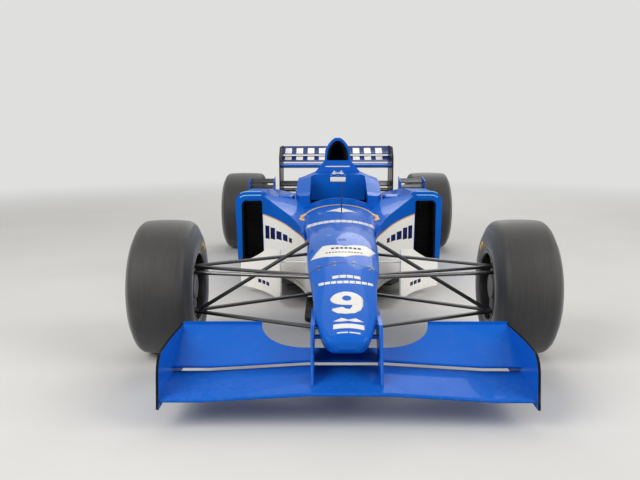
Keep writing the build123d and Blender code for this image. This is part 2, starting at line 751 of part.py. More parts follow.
with BuildPart() as driveshafts:
    for side in (-1, 1):
        rod(place(side * 100, WHEELBASE, REAR_TYRE_RADIUS - 10), place(side * 645, WHEELBASE, REAR_TYRE_RADIUS),
            15, 15)
    add(gearbox.part, mode=Mode.SUBTRACT)
    add(rear_suspension_arms.part, mode=Mode.SUBTRACT)


def upright(side, axle, height, inner, spindle_end, top, bottom, caliper_sign):
    """Upright with its spindle and caliper. Inner is its inboard face, measured from the centre line."""
    middle = inner + 24
    y = at_station(axle)
    with Locations(Location((side * middle, y, height), (0, 90, 0))):
        Cylinder(58, 48)
    with Locations((side * middle, y, (top + bottom) / 2)):
        Box(34, 70, top - bottom)
    # Caliper: a saddle over the edge of the disc, on a lug from the bearing housing
    disc_middle = inner + DISC_FROM_UPRIGHT
    with BuildSketch(Plane.YZ.offset(side * disc_middle)) as saddle:
        with Locations((y, height)):
            Circle(CALIPER_RADIUS)
            Circle(84, mode=Mode.SUBTRACT)
        with Locations((y + caliper_sign * 120, height)):
            Rectangle(110, 124, mode=Mode.INTERSECT)
    extrude(saddle.sketch, 31, both=True)
    with Locations(Location((side * disc_middle, y, height), (0, 90, 0))):
        Cylinder(DISC_RADIUS + 6, DISC_THICKNESS + 11, mode=Mode.SUBTRACT)
    with Locations((side * (middle + 8), y + caliper_sign * 74, height)):
        Box(34, 64, 60)
    with Locations(Location((side * (middle + spindle_end) / 2, y, height), (0, 90, 0))):
        Cylinder(SPINDLE_RADIUS, spindle_end - middle)


SIDES = (("left", 1), ("right", -1))
FRONT_UPRIGHT_INNER = 716
REAR_UPRIGHT_INNER = 645

with BuildPart() as rear_uprights:
    for name, side in SIDES:
        upright(side, WHEELBASE, REAR_TYRE_RADIUS, REAR_UPRIGHT_INNER, 800, 455, 190, -1)
    add(rear_suspension_arms.part, mode=Mode.SUBTRACT)
    add(driveshafts.part, mode=Mode.SUBTRACT)

for name, side in SIDES:
    with BuildPart() as front_upright:
        upright(side, 0, FRONT_TYRE_RADIUS, FRONT_UPRIGHT_INNER, 845, KINGPIN_TOP + 26, KINGPIN_BOTTOM - 26, 1)
        for height in (KINGPIN_TOP, KINGPIN_BOTTOM):
            # Room for the eye of the wishbone, then the pin through it
            with Locations(place(side * (KINGPIN_OFFSET - 20), 0, height)):
                Box(110, 120, 25, mode=Mode.SUBTRACT)
            with Locations(place(side * KINGPIN_OFFSET, 0, height)):
                Cylinder(PIN_RADIUS, 40)
            for lift in (-17.5, 17.5):
                with Locations(place(side * (KINGPIN_OFFSET + 7.5), 0, height + lift)):
                    Box(51, 44, 10)
            with Locations(place(side * (KINGPIN_OFFSET + 29), 0, height)):
                Box(8, 44, 45)
        # Steering arm and its pin
        with Locations(place(side * KINGPIN_OFFSET, -STEERING_ARM / 2 - 8, TRACK_ROD_HEIGHT - 18)):
            Box(24, STEERING_ARM + 4, 14)
        with Locations(place(side * KINGPIN_OFFSET, -STEERING_ARM, TRACK_ROD_HEIGHT - 4)):
            Cylinder(5, 30)
    save(front_upright, f"front_{name}_upright")

# Wheels: axle name, station, tyre radius, tyre width, offset, upright's inner face
WHEELS = (
    ("front", 0, FRONT_TYRE_RADIUS, FRONT_TYRE_WIDTH, FRONT_WHEEL_OFFSET, FRONT_UPRIGHT_INNER),
    ("rear", WHEELBASE, REAR_TYRE_RADIUS, REAR_TYRE_WIDTH, REAR_WHEEL_OFFSET, REAR_UPRIGHT_INNER),
)
SPOKES = 10

for axle, station, radius, width, offset, upright_inner in WHEELS:
    for name, side in SIDES:
        hub = Plane(origin=place(0, station, radius), x_dir=(1, 0, 0), z_dir=(0, -1, 0))
        axis = Axis(hub.origin, (1, 0, 0))
        disc_middle = upright_inner + DISC_FROM_UPRIGHT
        web = offset + width / 2 - 70
        with BuildPart() as rim:
            with BuildSketch(hub) as section:
                lip = width / 2 - 5
                for end in (-1, 1):
                    with Locations((side * offset + end * (lip - 4), RIM_RADIUS + 3)):
                        Rectangle(8, 18)
                with Locations((side * offset, (BARREL_BORE + RIM_RADIUS + 2) / 2)):
                    Rectangle(2 * lip, RIM_RADIUS + 2 - BARREL_BORE)
                # Dish and hub sleeve
                with BuildLine():
                    Polyline((side * (web + 20), BARREL_BORE + 2), (side * (web + 8), BARREL_BORE + 2),
                             (side * (web - 20), 60), (side * (web - 20), SPINDLE_RADIUS + HUB_GAP),
                             (side * (web + 8), SPINDLE_RADIUS + HUB_GAP), (side * (web + 8), 60),
                             close=True)
                make_face()
            revolve(section.sketch, axis)
            with BuildSketch(Plane.YZ.offset(side * web)) as slots:
                with Locations((at_station(station), radius)):
                    with PolarLocations(108, SPOKES):
                        Rectangle(72, 34)
            extrude(slots.sketch, 60, both=True, mode=Mode.SUBTRACT)
        save(rim, f"{axle}_{name}_rim")

        with BuildPart() as tyre:
            with BuildSketch(hub) as section:
                with BuildLine():
                    low = side * offset
                    half = width / 2
                    bead = RIM_RADIUS + 2
                    Line((low - half + 14, bead), (low + half - 14, bead))
                    ThreePointArc((low + half - 14, bead), (low + half, radius * 0.74),
                                  (low + half - 22, radius - 34))
                    ThreePointArc((low + half - 22, radius - 34), (low + half - 38, radius - 14),
                                  (low + half - 66, radius - 4))
                    ThreePointArc((low + half - 66, radius - 4), (low, radius), (low - half + 66, radius - 4))
                    ThreePointArc((low - half + 66, radius - 4), (low - half + 38, radius - 14),
                                  (low - half + 22, radius - 34))
                    ThreePointArc((low - half + 22, radius - 34), (low - half, radius * 0.74),
                                  (low - half + 14, bead))
                make_face()
            revolve(section.sketch, axis)
            add(rim.part, mode=Mode.SUBTRACT)
        save(tyre, f"{axle}_{name}_tyre")

        with BuildPart() as brake_disc:
            with BuildSketch(hub) as section:
                with Locations((side * disc_middle, (78 + DISC_RADIUS) / 2)):
                    Rectangle(DISC_THICKNESS, DISC_RADIUS - 78)
                bell_end = web - 20
                with Locations((side * (disc_middle + bell_end) / 2, SPINDLE_RADIUS + HUB_GAP + 6)):
                    Rectangle(bell_end - disc_middle, 12)
                with Locations((side * disc_middle, (SPINDLE_RADIUS + HUB_GAP + 80) / 2)):
                    Rectangle(8, 80 - SPINDLE_RADIUS - HUB_GAP)
            revolve(section.sketch, axis)
        save(brake_disc, f"{axle}_{name}_brake_disc")

save(monocoque, "monocoque")
save(nose_cone, "nose_cone")
save(front_wing_main, "front_wing_main")
save(front_wing_flaps, "front_wing_flaps")
save(front_wing_endplates, "front_wing_endplates")
save(sidepods, "sidepods")
save(radiators, "radiators")
save(engine_cover, "engine_cover")
save(head_surround, "head_surround")
save(cockpit_coaming, "cockpit_coaming")
save(floor, "floor")
save(skid_plank, "skid_plank")
save(diffuser, "diffuser")
save(engine_block, "engine_block")
save(gearbox, "gearbox")
save(rain_light, "rain_light")
save(rear_wing_planes, "rear_wing_planes")
save(lower_rear_wing, "lower_rear_wing")
save(rear_wing_endplates, "rear_wing_endplates")
save(winglets, "winglets")
save(bargeboards, "bargeboards")
save(mirrors, "mirrors")
save(antenna, "antenna")
save(driver_seat, "driver_seat")
save(dashboard, "dashboard")
save(steering_wheel, "steering_wheel")
save(front_suspension_arms, "front_suspension_arms")
save(steering_rack, "steering_rack")
save(rear_suspension_arms, "rear_suspension_arms")
save(driveshafts, "driveshafts")
save(rear_uprights, "rear_uprights")
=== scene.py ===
import json
import math
from functools import cache

import bmesh
import bpy
from mathutils import Matrix, Vector
from mathutils.bvhtree import BVHTree


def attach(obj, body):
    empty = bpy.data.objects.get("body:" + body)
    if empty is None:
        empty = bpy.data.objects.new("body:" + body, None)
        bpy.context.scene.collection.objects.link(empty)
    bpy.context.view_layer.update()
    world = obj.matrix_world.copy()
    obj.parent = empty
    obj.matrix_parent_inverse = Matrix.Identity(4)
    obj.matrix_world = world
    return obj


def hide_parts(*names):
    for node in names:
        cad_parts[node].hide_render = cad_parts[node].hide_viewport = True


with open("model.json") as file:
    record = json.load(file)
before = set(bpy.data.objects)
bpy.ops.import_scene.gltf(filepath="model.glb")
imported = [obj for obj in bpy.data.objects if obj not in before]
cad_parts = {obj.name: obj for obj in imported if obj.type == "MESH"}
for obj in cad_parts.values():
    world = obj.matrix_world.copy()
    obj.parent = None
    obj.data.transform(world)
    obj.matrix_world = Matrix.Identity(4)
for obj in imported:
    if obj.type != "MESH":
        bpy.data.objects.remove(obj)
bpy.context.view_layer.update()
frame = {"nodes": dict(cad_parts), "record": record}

# Driving places, in metres. Stations are distances behind the front axle.
FRONT_AXLE = -1.25
WHEELBASE = 2.95
INLET_STATION = 1.43
NOSE_JOINT_STATION = -0.30

# Wheels: name, station, tyre radius, tyre width, distance of the wheel's middle from the car's
# centre line, and distance of the brake disc outboard of that middle
WHEELS = (
    ("front", 0.0, 0.325, 0.300, 0.845, -0.051),
    ("rear", WHEELBASE, 0.330, 0.370, 0.800, -0.077),
)
SIDES = (("left", 1), ("right", -1))
BOTH = (-1, 1)
RIM_RADIUS = 0.168
SPINDLE_RADIUS = 0.0275

# Colours, linear
BLUE = (0.004, 0.105, 0.50)
WHITE = (0.87, 0.85, 0.80)
GOLD = (0.76, 0.46, 0.10)
NAVY = (0.008, 0.012, 0.09)
# Darker blue painted on the rear wing's upper planes: painted shade
WING_SHADE_BLUE = (0.004, 0.030, 0.165)
DUST = (0.30, 0.27, 0.23)
SEAM = (0.004, 0.006, 0.012)
BARE_CARBON = (0.008, 0.008, 0.009)


def y_at(station):
    """Y of a distance behind the front axle."""
    return FRONT_AXLE + station


def shade(color, factor):
    """A colour made lighter or darker."""
    return tuple(min(1.0, channel * factor) for channel in color[:3])


# Materials

class Nodes:
    """A node tree whose nodes are added one call at a time."""

    def __init__(self, tree):
        self.tree = tree

    def feed(self, socket, value):
        """Links a socket to another node's output, or sets its value."""
        if isinstance(value, bpy.types.NodeSocket):
            self.tree.links.new(value, socket)
        elif isinstance(value, tuple) and len(value) == 3 and socket.type == "RGBA":
            socket.default_value = (*value, 1.0)
        else:
            socket.default_value = value

    def node(self, kind, inputs=(), output=0, **settings):
        """Adds a node and returns one of its outputs."""
        made = self.tree.nodes.new("ShaderNode" + kind)
        for key, value in settings.items():
            setattr(made, key, value)
        for key, value in dict(inputs).items():
            self.feed(made.inputs[key], value)
        return made.outputs[output]

    def calc(self, operation, first, second=0.0, third=0.0):
        return self.node("Math", {0: first, 1: second, 2: third}, operation=operation)

    def times(self, first, second):
        return self.calc("MULTIPLY", first, second)

    def plus(self, first, second):
        return self.calc("ADD", first, second)

    def over(self, value, limit):
        return self.calc("GREATER_THAN", value, limit)

    def under(self, value, limit):
        return self.calc("LESS_THAN", value, limit)

    def near(self, value, middle, reach):
        """1 where a value is within reach of a middle."""
        return self.calc("COMPARE", value, middle, reach)

    def distance(self, first, second):
        """Distance from an axis, from the two coordinates across it."""
        return self.calc("SQRT", self.plus(self.times(first, first), self.times(second, second)))

    def seen(self):
        """1 for the camera, reflections and refractions, and 0 for the light that falls on the car."""
        rays = self.tree.nodes.new("ShaderNodeLightPath").outputs
        sharp = self.calc("MAXIMUM", rays["Is Glossy Ray"], rays["Is Transmission Ray"])
        return self.calc("MAXIMUM", rays["Is Camera Ray"], sharp)


class Finish(Nodes):
    """A Principled material, with the patterns that its colour and relief are made of."""

    def __init__(self, name, constants=()):
        self.material = bpy.data.materials.new(name)
        self.material.use_nodes = True
        super().__init__(self.material.node_tree)
        self.shader = self.tree.nodes["Principled BSDF"].inputs
        for socket, value in dict(constants).items():
            self.feed(self.shader[socket], value)

    def axes(self, output="Object"):
        """X, Y and Z of the point in the object's own frame, in metres, or of its Normal."""
        split = self.tree.nodes.new("ShaderNodeSeparateXYZ")
        self.feed(split.inputs[0], self.node("TexCoord", output=output))
        return tuple(split.outputs)

    def point(self, x, y=0.0):
        return self.node("CombineXYZ", {0: x, 1: y})

    def noise(self, scale, detail=4.0, stretch=(1.0, 1.0, 1.0), where=None):
        """Noise from 0 to 1, drawn out along the axes whose stretch is small."""
        where = where or self.node("TexCoord", output="Object")
        mapped = self.node("Mapping", {"Vector": where, "Scale": stretch})
        return self.node("TexNoise", {"Vector": mapped, "Scale": scale, "Detail": detail}, "Fac")

    def ramp(self, value, low, high, start=0.0, end=1.0):
        """A value spread smoothly from one range over another."""
        ends = {"Value": value, "From Min": low, "From Max": high, "To Min": start, "To Max": end}
        return self.node("MapRange", ends, interpolation_type="SMOOTHSTEP")

    def repeat(self, value, per_metre, operation="FLOORED_MODULO"):
        """0 to 1 again and again, or there and back with PINGPONG."""
        return self.calc(operation, self.times(value, per_metre), 1.0)

    def mix(self, share, first, second):
        """Two colours mixed by a share."""
        return self.node("Mix", {0: share, 6: first, 7: second}, 2, data_type="RGBA")

    def surface(self, color, roughness, height, depth):
        """Feeds the shader: colour, roughness, and a bump of a height up to a depth in metres."""
        self.feed(self.shader["Base Color"], color)
        self.feed(self.shader["Roughness"], roughness)
        bump = self.node("Bump", {"Strength": 1.0, "Distance": depth, "Height": height}, "Normal")
        self.feed(self.shader["Normal"], bump)
        return self.material


# Half width of a panel joint
SEAM_REACH = 0.0014


def painted(name, color, seams=(), livery=None, coat=0.26):
    """Clear-coated paint: slight shade drift, orange peel, polishing marks, dust and dark panel joints."""
    finish = Finish(name, {"Coat Weight": coat, "Coat Roughness": 0.03, "Coat IOR": 1.45,
                           "Specular IOR Level": 0.02})
    axes = finish.axes()
    base = finish.mix(finish.noise(2.2, 3), shade(color, 0.86), shade(color, 1.12))
    if livery:
        base = livery(finish, base, *axes)
    base = finish.mix(finish.ramp(finish.noise(17, 9), 0.52, 0.78, 0.0, 0.035), base, DUST)
    splashes = finish.ramp(finish.noise(55, 8), 0.4, 0.7, 0.0, 0.12)
    base = finish.mix(finish.times(finish.ramp(axes[2], 0.22, 0.03), splashes), base, DUST)
    height = finish.times(finish.noise(210, 2), 0.25)
    for letter, value in seams:
        gap = finish.near(axes["xyz".index(letter)], value, SEAM_REACH)
        base = finish.mix(gap, base, SEAM)
        height = finish.calc("SUBTRACT", height, finish.times(gap, 6.0))
    marks = finish.noise(38, 7, stretch=(1.0, 0.15, 1.0))
    return finish.surface(base, finish.ramp(marks, 0.35, 0.7, 0.32, 0.40), height, 0.00022)


def bare_edges(finish, base, *place):
    """Unpainted carbon on the thin edges of upright plates."""
    across = finish.calc("ABSOLUTE", finish.axes("Normal")[0])
    return finish.mix(finish.under(across, 0.5), base, (0.006, 0.006, 0.007))


# Gold line along the shoulder fairing: stations and heights, and its half width
GOLD_LINE = ((0.62, 0.418), (0.80, 0.428), (1.00, 0.436), (1.20, 0.462), (1.43, 0.492))
GOLD_REACH = 0.0042
# Ducts behind the inlets: middle and reach across the car and along it, and height of the floor
DUCT_ACROSS = (0.497, 0.171)
DUCT_ALONG = (y_at(1.640), 0.203)
DUCT_FLOOR = 0.111


def fairing_livery_and_shade(finish, base, x, y, z):
    """White flank below a gold line that rises towards the inlet, and the duct's walls near-black, as bare
    carbon and as painted shade deep in the duct.
    """
    first, last = GOLD_LINE[0][0], GOLD_LINE[-1][0]
    curve = finish.tree.nodes.new("ShaderNodeFloatCurve")
    points = curve.mapping.curves[0].points
    points[0].location = (0.0, GOLD_LINE[0][1])
    points[1].location = (1.0, GOLD_LINE[-1][1])
    for station, height in GOLD_LINE[1:-1]:
        points.new((station - first) / (last - first), height)
    curve.mapping.update()
    finish.feed(curve.inputs["Value"], finish.node("MapRange", {0: y, 1: y_at(first), 2: y_at(last)}))
    above = finish.calc("SUBTRACT", z, curve.outputs[0])
    flank = finish.times(finish.under(y, y_at(INLET_STATION - 0.004)), finish.over(y, y_at(first)))
    white_part = finish.times(flank, finish.under(above, 0.0))
    gold_part = finish.times(flank, finish.near(above, 0.0, GOLD_REACH))
    across = finish.calc("ABSOLUTE", x)
    roof = finish.ramp(across, 0.455, 0.465, 0.490, 0.583)
    # Near-black inside the duct: bare carbon, with painted shade for its depth
    inside = finish.times(finish.near(across, *DUCT_ACROSS), finish.near(y, *DUCT_ALONG))
    inside = finish.times(inside, finish.over(z, DUCT_FLOOR))
    inside = finish.times(inside, finish.under(z, roof))
    base = finish.mix(gold_part, finish.mix(white_part, base, WHITE), GOLD)
    return finish.mix(inside, base, BARE_CARBON)


def wing_painted_shade(finish, base, x, y, z):
    """Upper planes painted a darker blue than the main plane: painted shade."""
    return finish.mix(finish.over(z, 0.7435), base, WING_SHADE_BLUE)


def winglet_livery(finish, base, x, y, z):
    """Blue plates at both ends of the black slats."""
    across = finish.calc("ABSOLUTE", x)
    plates = finish.plus(finish.under(across, 0.5085), finish.over(across, 0.6935))
    return finish.mix(plates, base, BLUE)


def woven(name, livery=None):
    """Carbon composite: twill of 3 mm tows under a satin clear coat."""
    finish = Finish(name, {"Coat Weight": 0.10, "Coat Roughness": 0.2, "Specular IOR Level": 0.05})
    x, y, z = finish.axes()
    tows = [finish.calc("FLOOR", finish.times(finish.plus(along, finish.times(z, slant)), 330.0))
            for along, slant in ((x, 0.6), (y, 0.8))]
    twill = finish.under(finish.calc("FLOORED_MODULO", finish.plus(*tows), 4.0), 2.0)
    base = finish.mix(twill, BARE_CARBON, (0.022, 0.022, 0.024))
    if livery:
        base = livery(finish, base, x, y, z)
    base = finish.mix(finish.ramp(finish.noise(20, 8), 0.5, 0.75, 0.0, 0.04), base, DUST)
    return finish.surface(base, finish.ramp(finish.noise(9, 5), 0.3, 0.7, 0.30, 0.48), twill, 0.00008)


def slick_rubber():
    """Scrubbed slick: warm scuffed tread with streaks round the tyre, darker and smoother sidewalls."""
    finish = Finish("slick_rubber", {"Sheen Weight": 0.25, "Sheen Roughness": 0.5,
                                     "Specular IOR Level": 0.42})
    x, y, z = finish.axes()
    tread = finish.ramp(finish.distance(y, z), 0.302, 0.317)
    turn = finish.calc("ARCTAN2", y, z)
    streaks = finish.noise(1.0, 6, where=finish.point(finish.times(x, 90.0), finish.times(turn, 2.4)))
    patches = finish.noise(9, 6)
    scuffed = finish.mix(finish.ramp(streaks, 0.35, 0.68), (0.019, 0.018, 0.017), (0.027, 0.025, 0.023))
    scuffed = finish.mix(finish.ramp(patches, 0.45, 0.75, 0.0, 0.4), scuffed, (0.042, 0.037, 0.032))
    wall = finish.mix(finish.ramp(patches, 0.3, 0.7), (0.013, 0.013, 0.013), (0.022, 0.022, 0.021))
    grain = finish.plus(finish.noise(650, 3), finish.times(streaks, 0.8))
    rough = finish.ramp(finish.plus(streaks, tread), 0.3, 1.6, 0.46, 0.60)
    return finish.surface(finish.mix(tread, wall, scuffed), rough, grain, 0.00025)


def metal(name, color, roughness, brushing=(1.0, 1.0, 1.0), grain=120, depth=0.0001, metallic=1.0):
    """Metal with drawn or cast grain, faint stains and smudges."""
    finish = Finish(name, {"Metallic": metallic})
    lines = finish.noise(grain, 5, stretch=brushing)
    stains = finish.noise(11, 7)
    base = finish.mix(finish.ramp(stains, 0.35, 0.75), color, shade(color, 0.72))
    base = finish.mix(finish.ramp(lines, 0.3, 0.7, 0.0, 0.25), base, shade(color, 1.25))
    rough = finish.ramp(finish.plus(lines, stains), 0.6, 1.4, roughness * 0.8, roughness * 1.3)
    return finish.surface(base, rough, lines, depth)


def rim_alloy(name, side):
    """Light alloy rim: painted middle, turned lip with fine rings, brake dust towards the hub, and painted
    shade that darkens the inner side.
    """
    finish = Finish(f"rim_alloy_{name}", {"Metallic": 0.75, "Coat Weight": 0.25, "Coat Roughness": 0.1})
    x, y, z = finish.axes()
    reach = finish.distance(y, z)
    rings = finish.noise(1.0, 2, where=finish.point(finish.times(reach, 900.0)))
    lip = finish.ramp(reach, 0.158, 0.163)
    middle = finish.mix(finish.noise(7, 5), (0.15, 0.14, 0.125), (0.22, 0.205, 0.18))
    base = finish.mix(lip, middle, (0.36, 0.345, 0.32))
    soot = finish.ramp(finish.noise(26, 8), 0.45, 0.75, 0.0, 0.55)
    base = finish.mix(finish.times(soot, finish.ramp(reach, 0.15, 0.06)), base, (0.05, 0.045, 0.04))
    # Painted shade: the inner side, facing the car, darkened nearly to black
    inner_side_shade = finish.ramp(finish.times(x, float(side)), 0.050, -0.020, 0.0, 0.88)
    base = finish.mix(inner_side_shade, base, (0.012, 0.011, 0.010))
    height = finish.plus(finish.times(rings, lip), finish.times(finish.noise(300, 2), 0.4))
    return finish.surface(base, finish.ramp(rings, 0.3, 0.7, 0.26, 0.40), height, 0.00006)


def carbon_disc():
    """Carbon brake disc: matt, with swept rings on the rubbing faces."""
    finish = Finish("carbon_disc", {"Specular IOR Level": 0.6})
    x, y, z = finish.axes()
    rings = finish.noise(1.0, 4, where=finish.point(finish.times(finish.distance(y, z), 700.0)))
    base = finish.mix(rings, (0.030, 0.030, 0.031), (0.085, 0.085, 0.088))
    return finish.surface(base, finish.ramp(rings, 0.3, 0.7, 0.38, 0.6), rings, 0.0002)


def planked_wood():
    """Laminated beech block: long grain in bands, waxed, scraped and stained."""
    finish = Finish("planked_wood", {"Coat Weight": 0.1, "Coat Roughness": 0.35})
    grain = finish.noise(60, 9, stretch=(1.0, 0.03, 1.0))
    base = finish.mix(grain, (0.16, 0.085, 0.04), (0.38, 0.24, 0.13))
    glue = finish.under(finish.repeat(finish.axes()[0], 55.0), 0.06)
    base = finish.mix(glue, base, (0.10, 0.05, 0.025))
    scrapes = finish.ramp(finish.noise(22, 8, stretch=(1.0, 0.08, 1.0)), 0.55, 0.72)
    base = finish.mix(scrapes, base, (0.09, 0.07, 0.055))
    return finish.surface(base, finish.ramp(grain, 0.3, 0.7, 0.45, 0.65), grain, 0.0004)


def finned_core():
    """Radiator core: pleated fins between flat tubes."""
    finish = Finish("finned_core", {"Metallic": 0.8})
    x, y, z = finish.axes()
    fins = finish.repeat(x, 420.0, "PINGPONG")
    tubes = finish.under(finish.repeat(z, 110.0), 0.26)
    base = finish.mix(fins, (0.012, 0.012, 0.012), (0.11, 0.11, 0.11))
    base = finish.mix(tubes, base, (0.16, 0.16, 0.165))
    height = finish.calc("MAXIMUM", tubes, finish.times(fins, 0.7))
    return finish.surface(base, finish.ramp(finish.noise(14, 6), 0.3, 0.7, 0.4, 0.6), height, 0.002)


def moulded(name, color, grain=900, depth=0.0001, roughness=0.55, coat=0.0, sheen=0.0):
    """Moulded plastic, rubber or suede, from its colour, grain and sheen."""
    finish = Finish(name, {"Coat Weight": coat, "Coat Roughness": 0.1, "Sheen Weight": sheen})
    fine = finish.noise(grain, 3)
    worn = finish.ramp(finish.noise(13, 6), 0.5, 0.8, 0.0, 0.4)
    base = finish.mix(worn, finish.mix(fine, shade(color, 0.85), shade(color, 1.15)), shade(color, 1.7))
    rough = finish.ramp(fine, 0.3, 0.7, roughness * 0.85, roughness * 1.15)
    return finish.surface(base, rough, fine, depth)


def webbing():
    """Nylon belt: ribs across the weave."""
    finish = Finish("webbing", {"Sheen Weight": 0.3})
    x, y, z = finish.axes()
    ribs = finish.repeat(x, 700.0, "PINGPONG")
    weave = finish.times(ribs, finish.repeat(finish.plus(y, z), 520.0, "PINGPONG"))
    return finish.surface(finish.mix(weave, (0.006, 0.010, 0.05), (0.018, 0.035, 0.14)), 0.7, weave, 0.0004)


def heated_steel():
    """Exhaust steel: straw and blue heat tints towards the mouth."""
    finish = Finish("heated_steel", {"Metallic": 1.0})
    towards = finish.ramp(finish.axes()[1], y_at(2.70), y_at(2.92))
    heat = finish.plus(towards, finish.times(finish.noise(20, 6), 0.35))
    base = finish.mix(finish.ramp(heat, 0.2, 0.7), (0.20, 0.18, 0.16), (0.30, 0.20, 0.09))
    base = finish.mix(finish.ramp(heat, 0.75, 1.2), base, (0.07, 0.08, 0.13))
    return finish.surface(base, finish.ramp(heat, 0, 1.3, 0.25, 0.5), finish.noise(300, 3), 0.00008)


# Panel joints: axis and place
NOSE_SEAMS = (("y", y_at(NOSE_JOINT_STATION) - 0.001),)
TUB_SEAMS = (("y", y_at(NOSE_JOINT_STATION) + 0.001), ("y", y_at(0.42)))
COVER_SEAMS = (("y", y_at(2.10)),)
POD_SEAMS = (("z", 0.125), ("y", y_at(1.90)))

blue = painted("blue_paint", BLUE)
white = painted("white_paint", WHITE)
film = painted("marking_film", shade(WHITE, 0.84), coat=0.10)
gold = painted("gold_paint", GOLD)
navy = painted("navy_paint", NAVY)
# Pale blue for small deck marks, and for painted highlights on the inlet lips
pale = painted("pale_blue_paint_and_highlight", (0.25, 0.55, 0.80))
low_wing = painted("front_wing_paint", BLUE, coat=0.10)
yellow = moulded("yellow_marking", (0.62, 0.42, 0.03), roughness=0.5)
carbon = woven("carbon_twill")
rubber = slick_rubber()
alloy = {side: rim_alloy(name, side) for name, side in SIDES}
disc = carbon_disc()
cast = metal("cast_alloy", (0.20, 0.20, 0.205), 0.5, grain=420, depth=0.0004, metallic=0.85)
machined = metal("machined_alloy", (0.55, 0.55, 0.56), 0.25, brushing=(1, 1, 0.05))
steel = metal("ground_steel", (0.16, 0.155, 0.15), 0.3, brushing=(0.05, 1, 1))
satin_black = moulded("satin_black", (0.012, 0.012, 0.013), roughness=0.4)
suede = moulded("suede", (0.02, 0.02, 0.022), grain=500, depth=0.0005, roughness=0.9, sheen=0.5)
mirror_glass = metal("mirror_glass", (0.75, 0.78, 0.80), 0.04, grain=6, depth=0.00002)
red_lens = moulded("red_lens", (0.36, 0.01, 0.01), grain=260, depth=0.0003, roughness=0.2, coat=1.0)
screen = moulded("screen_glass", (0.02, 0.03, 0.03), grain=90, depth=0.00002, roughness=0.15, coat=1.0)
belt = webbing()
caliper_gold = metal("anodised_gold", (0.42, 0.27, 0.07), 0.35, grain=300)
# Near-black for the inside of the airbox's duct: painted shade
airbox_shade_black = moulded("airbox_shade_black", (0.006, 0.006, 0.0065), grain=60, roughness=0.8)
boot_rubber = moulded("boot_rubber", (0.012, 0.012, 0.012), roughness=0.7)
button_red = moulded("button_red", (0.45, 0.012, 0.012), roughness=0.35)
exhaust_trim = metal("tinted_steel", (0.24, 0.17, 0.10), 0.3, grain=200)
exhaust = heated_steel()

NODE_MATERIALS = {
    "front_wing_endplates": painted("endplate_paint", BLUE, livery=bare_edges, coat=0.15),
    "head_surround": painted("surround_paint", BLUE, coat=0.12),
    "nose_cone": painted("nose_paint", BLUE, NOSE_SEAMS, coat=0.20),
    "front_wing_main": low_wing,
    "front_wing_flaps": low_wing,
    "monocoque": painted("tub_paint", BLUE, TUB_SEAMS),
    "sidepods": painted("pod_paint", BLUE, POD_SEAMS, fairing_livery_and_shade),
    "engine_cover": painted("cover_paint", BLUE, COVER_SEAMS),
    "rear_wing_planes": painted("wing_paint", BLUE, livery=wing_painted_shade),
    "bargeboards": white,
    "winglets": woven("winglet_carbon", winglet_livery),
    "skid_plank": planked_wood(),
    "radiators": finned_core(),
    "gearbox": cast,
    "engine_block": exhaust,
    "rear_uprights": cast,
    "front_left_upright": cast,
    "front_right_upright": cast,
    "driveshafts": steel,
    "steering_rack": steel,
    "rain_light": red_lens,
    "antenna": satin_black,
    "steering_wheel": satin_black,
    "front_suspension_arms": satin_black,
    "rear_suspension_arms": satin_black,
}
SLOT_MATERIALS = {"body_paint": blue, "carbon": carbon, "tyre_rubber": rubber, "rim_metal": alloy[1],
                  "disc_carbon": disc}

for subpart in frame["record"]["subparts"]:
    node = subpart["node"]
    mesh = frame["nodes"][node].data
    mesh.materials.clear()
    mesh.materials.append(NODE_MATERIALS.get(node) or SLOT_MATERIALS[subpart["material_slot"]])


# Mesh helpers

def linked(name, data):
    """A new object in the scene."""
    made = bpy.data.objects.new(name, data)
    bpy.context.scene.collection.objects.link(made)
    return made


def finished(name, bm, material, body="chassis", at=(0, 0, 0), turn=None, sharp=35.0):
    """Turns a bmesh, itself turned by a matrix if one is given, into a piece that rides on a body."""
    if turn is not None:
        bmesh.ops.transform(bm, matrix=turn, verts=bm.verts)
    bmesh.ops.recalc_face_normals(bm, faces=bm.faces)
    mesh = bpy.data.meshes.new(name)
    bm.to_mesh(mesh)
    bm.free()
    mesh.materials.append(material)
    mesh.shade_smooth()
    mesh.set_sharp_from_angle(angle=math.radians(sharp))
    piece = linked(name, mesh)
    piece.location = at
    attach(piece, body)
    return piece


def thicken(piece, thickness, offset=-1.0):
    """Gives a thin sheet its thickness: under it, or half to each side where the offset is 0."""
    solid = piece.modifiers.new("thickness", "SOLIDIFY")
    solid.thickness = thickness
    solid.offset = offset


def ways(count, start=0.0):
    """Angles evenly round a circle."""
    return [2 * math.pi * (step + start) / count for step in range(count)]


def about_x(along, radius, turn):
    """A point about the X axis. A turn of 0 points up."""
    return Vector((along, radius * math.sin(turn), radius * math.cos(turn)))


def heading(points, index):
    """Direction of a path at one of its points."""
    return (points[min(index + 1, len(points) - 1)] - points[max(index - 1, 0)]).normalized()


def bridge(bm, rings, closed=True, capped=True):
    """Faces between rings or rows of vertices that follow each other, and over the first and last."""
    for here, there in zip(rings, rings[1:]):
        for index in range(len(here) if closed else len(here) - 1):
            after = (index + 1) % len(here)
            bm.faces.new((here[index], here[after], there[after], there[index]))
    if capped:
        bm.faces.new(rings[0])
        bm.faces.new(rings[-1])


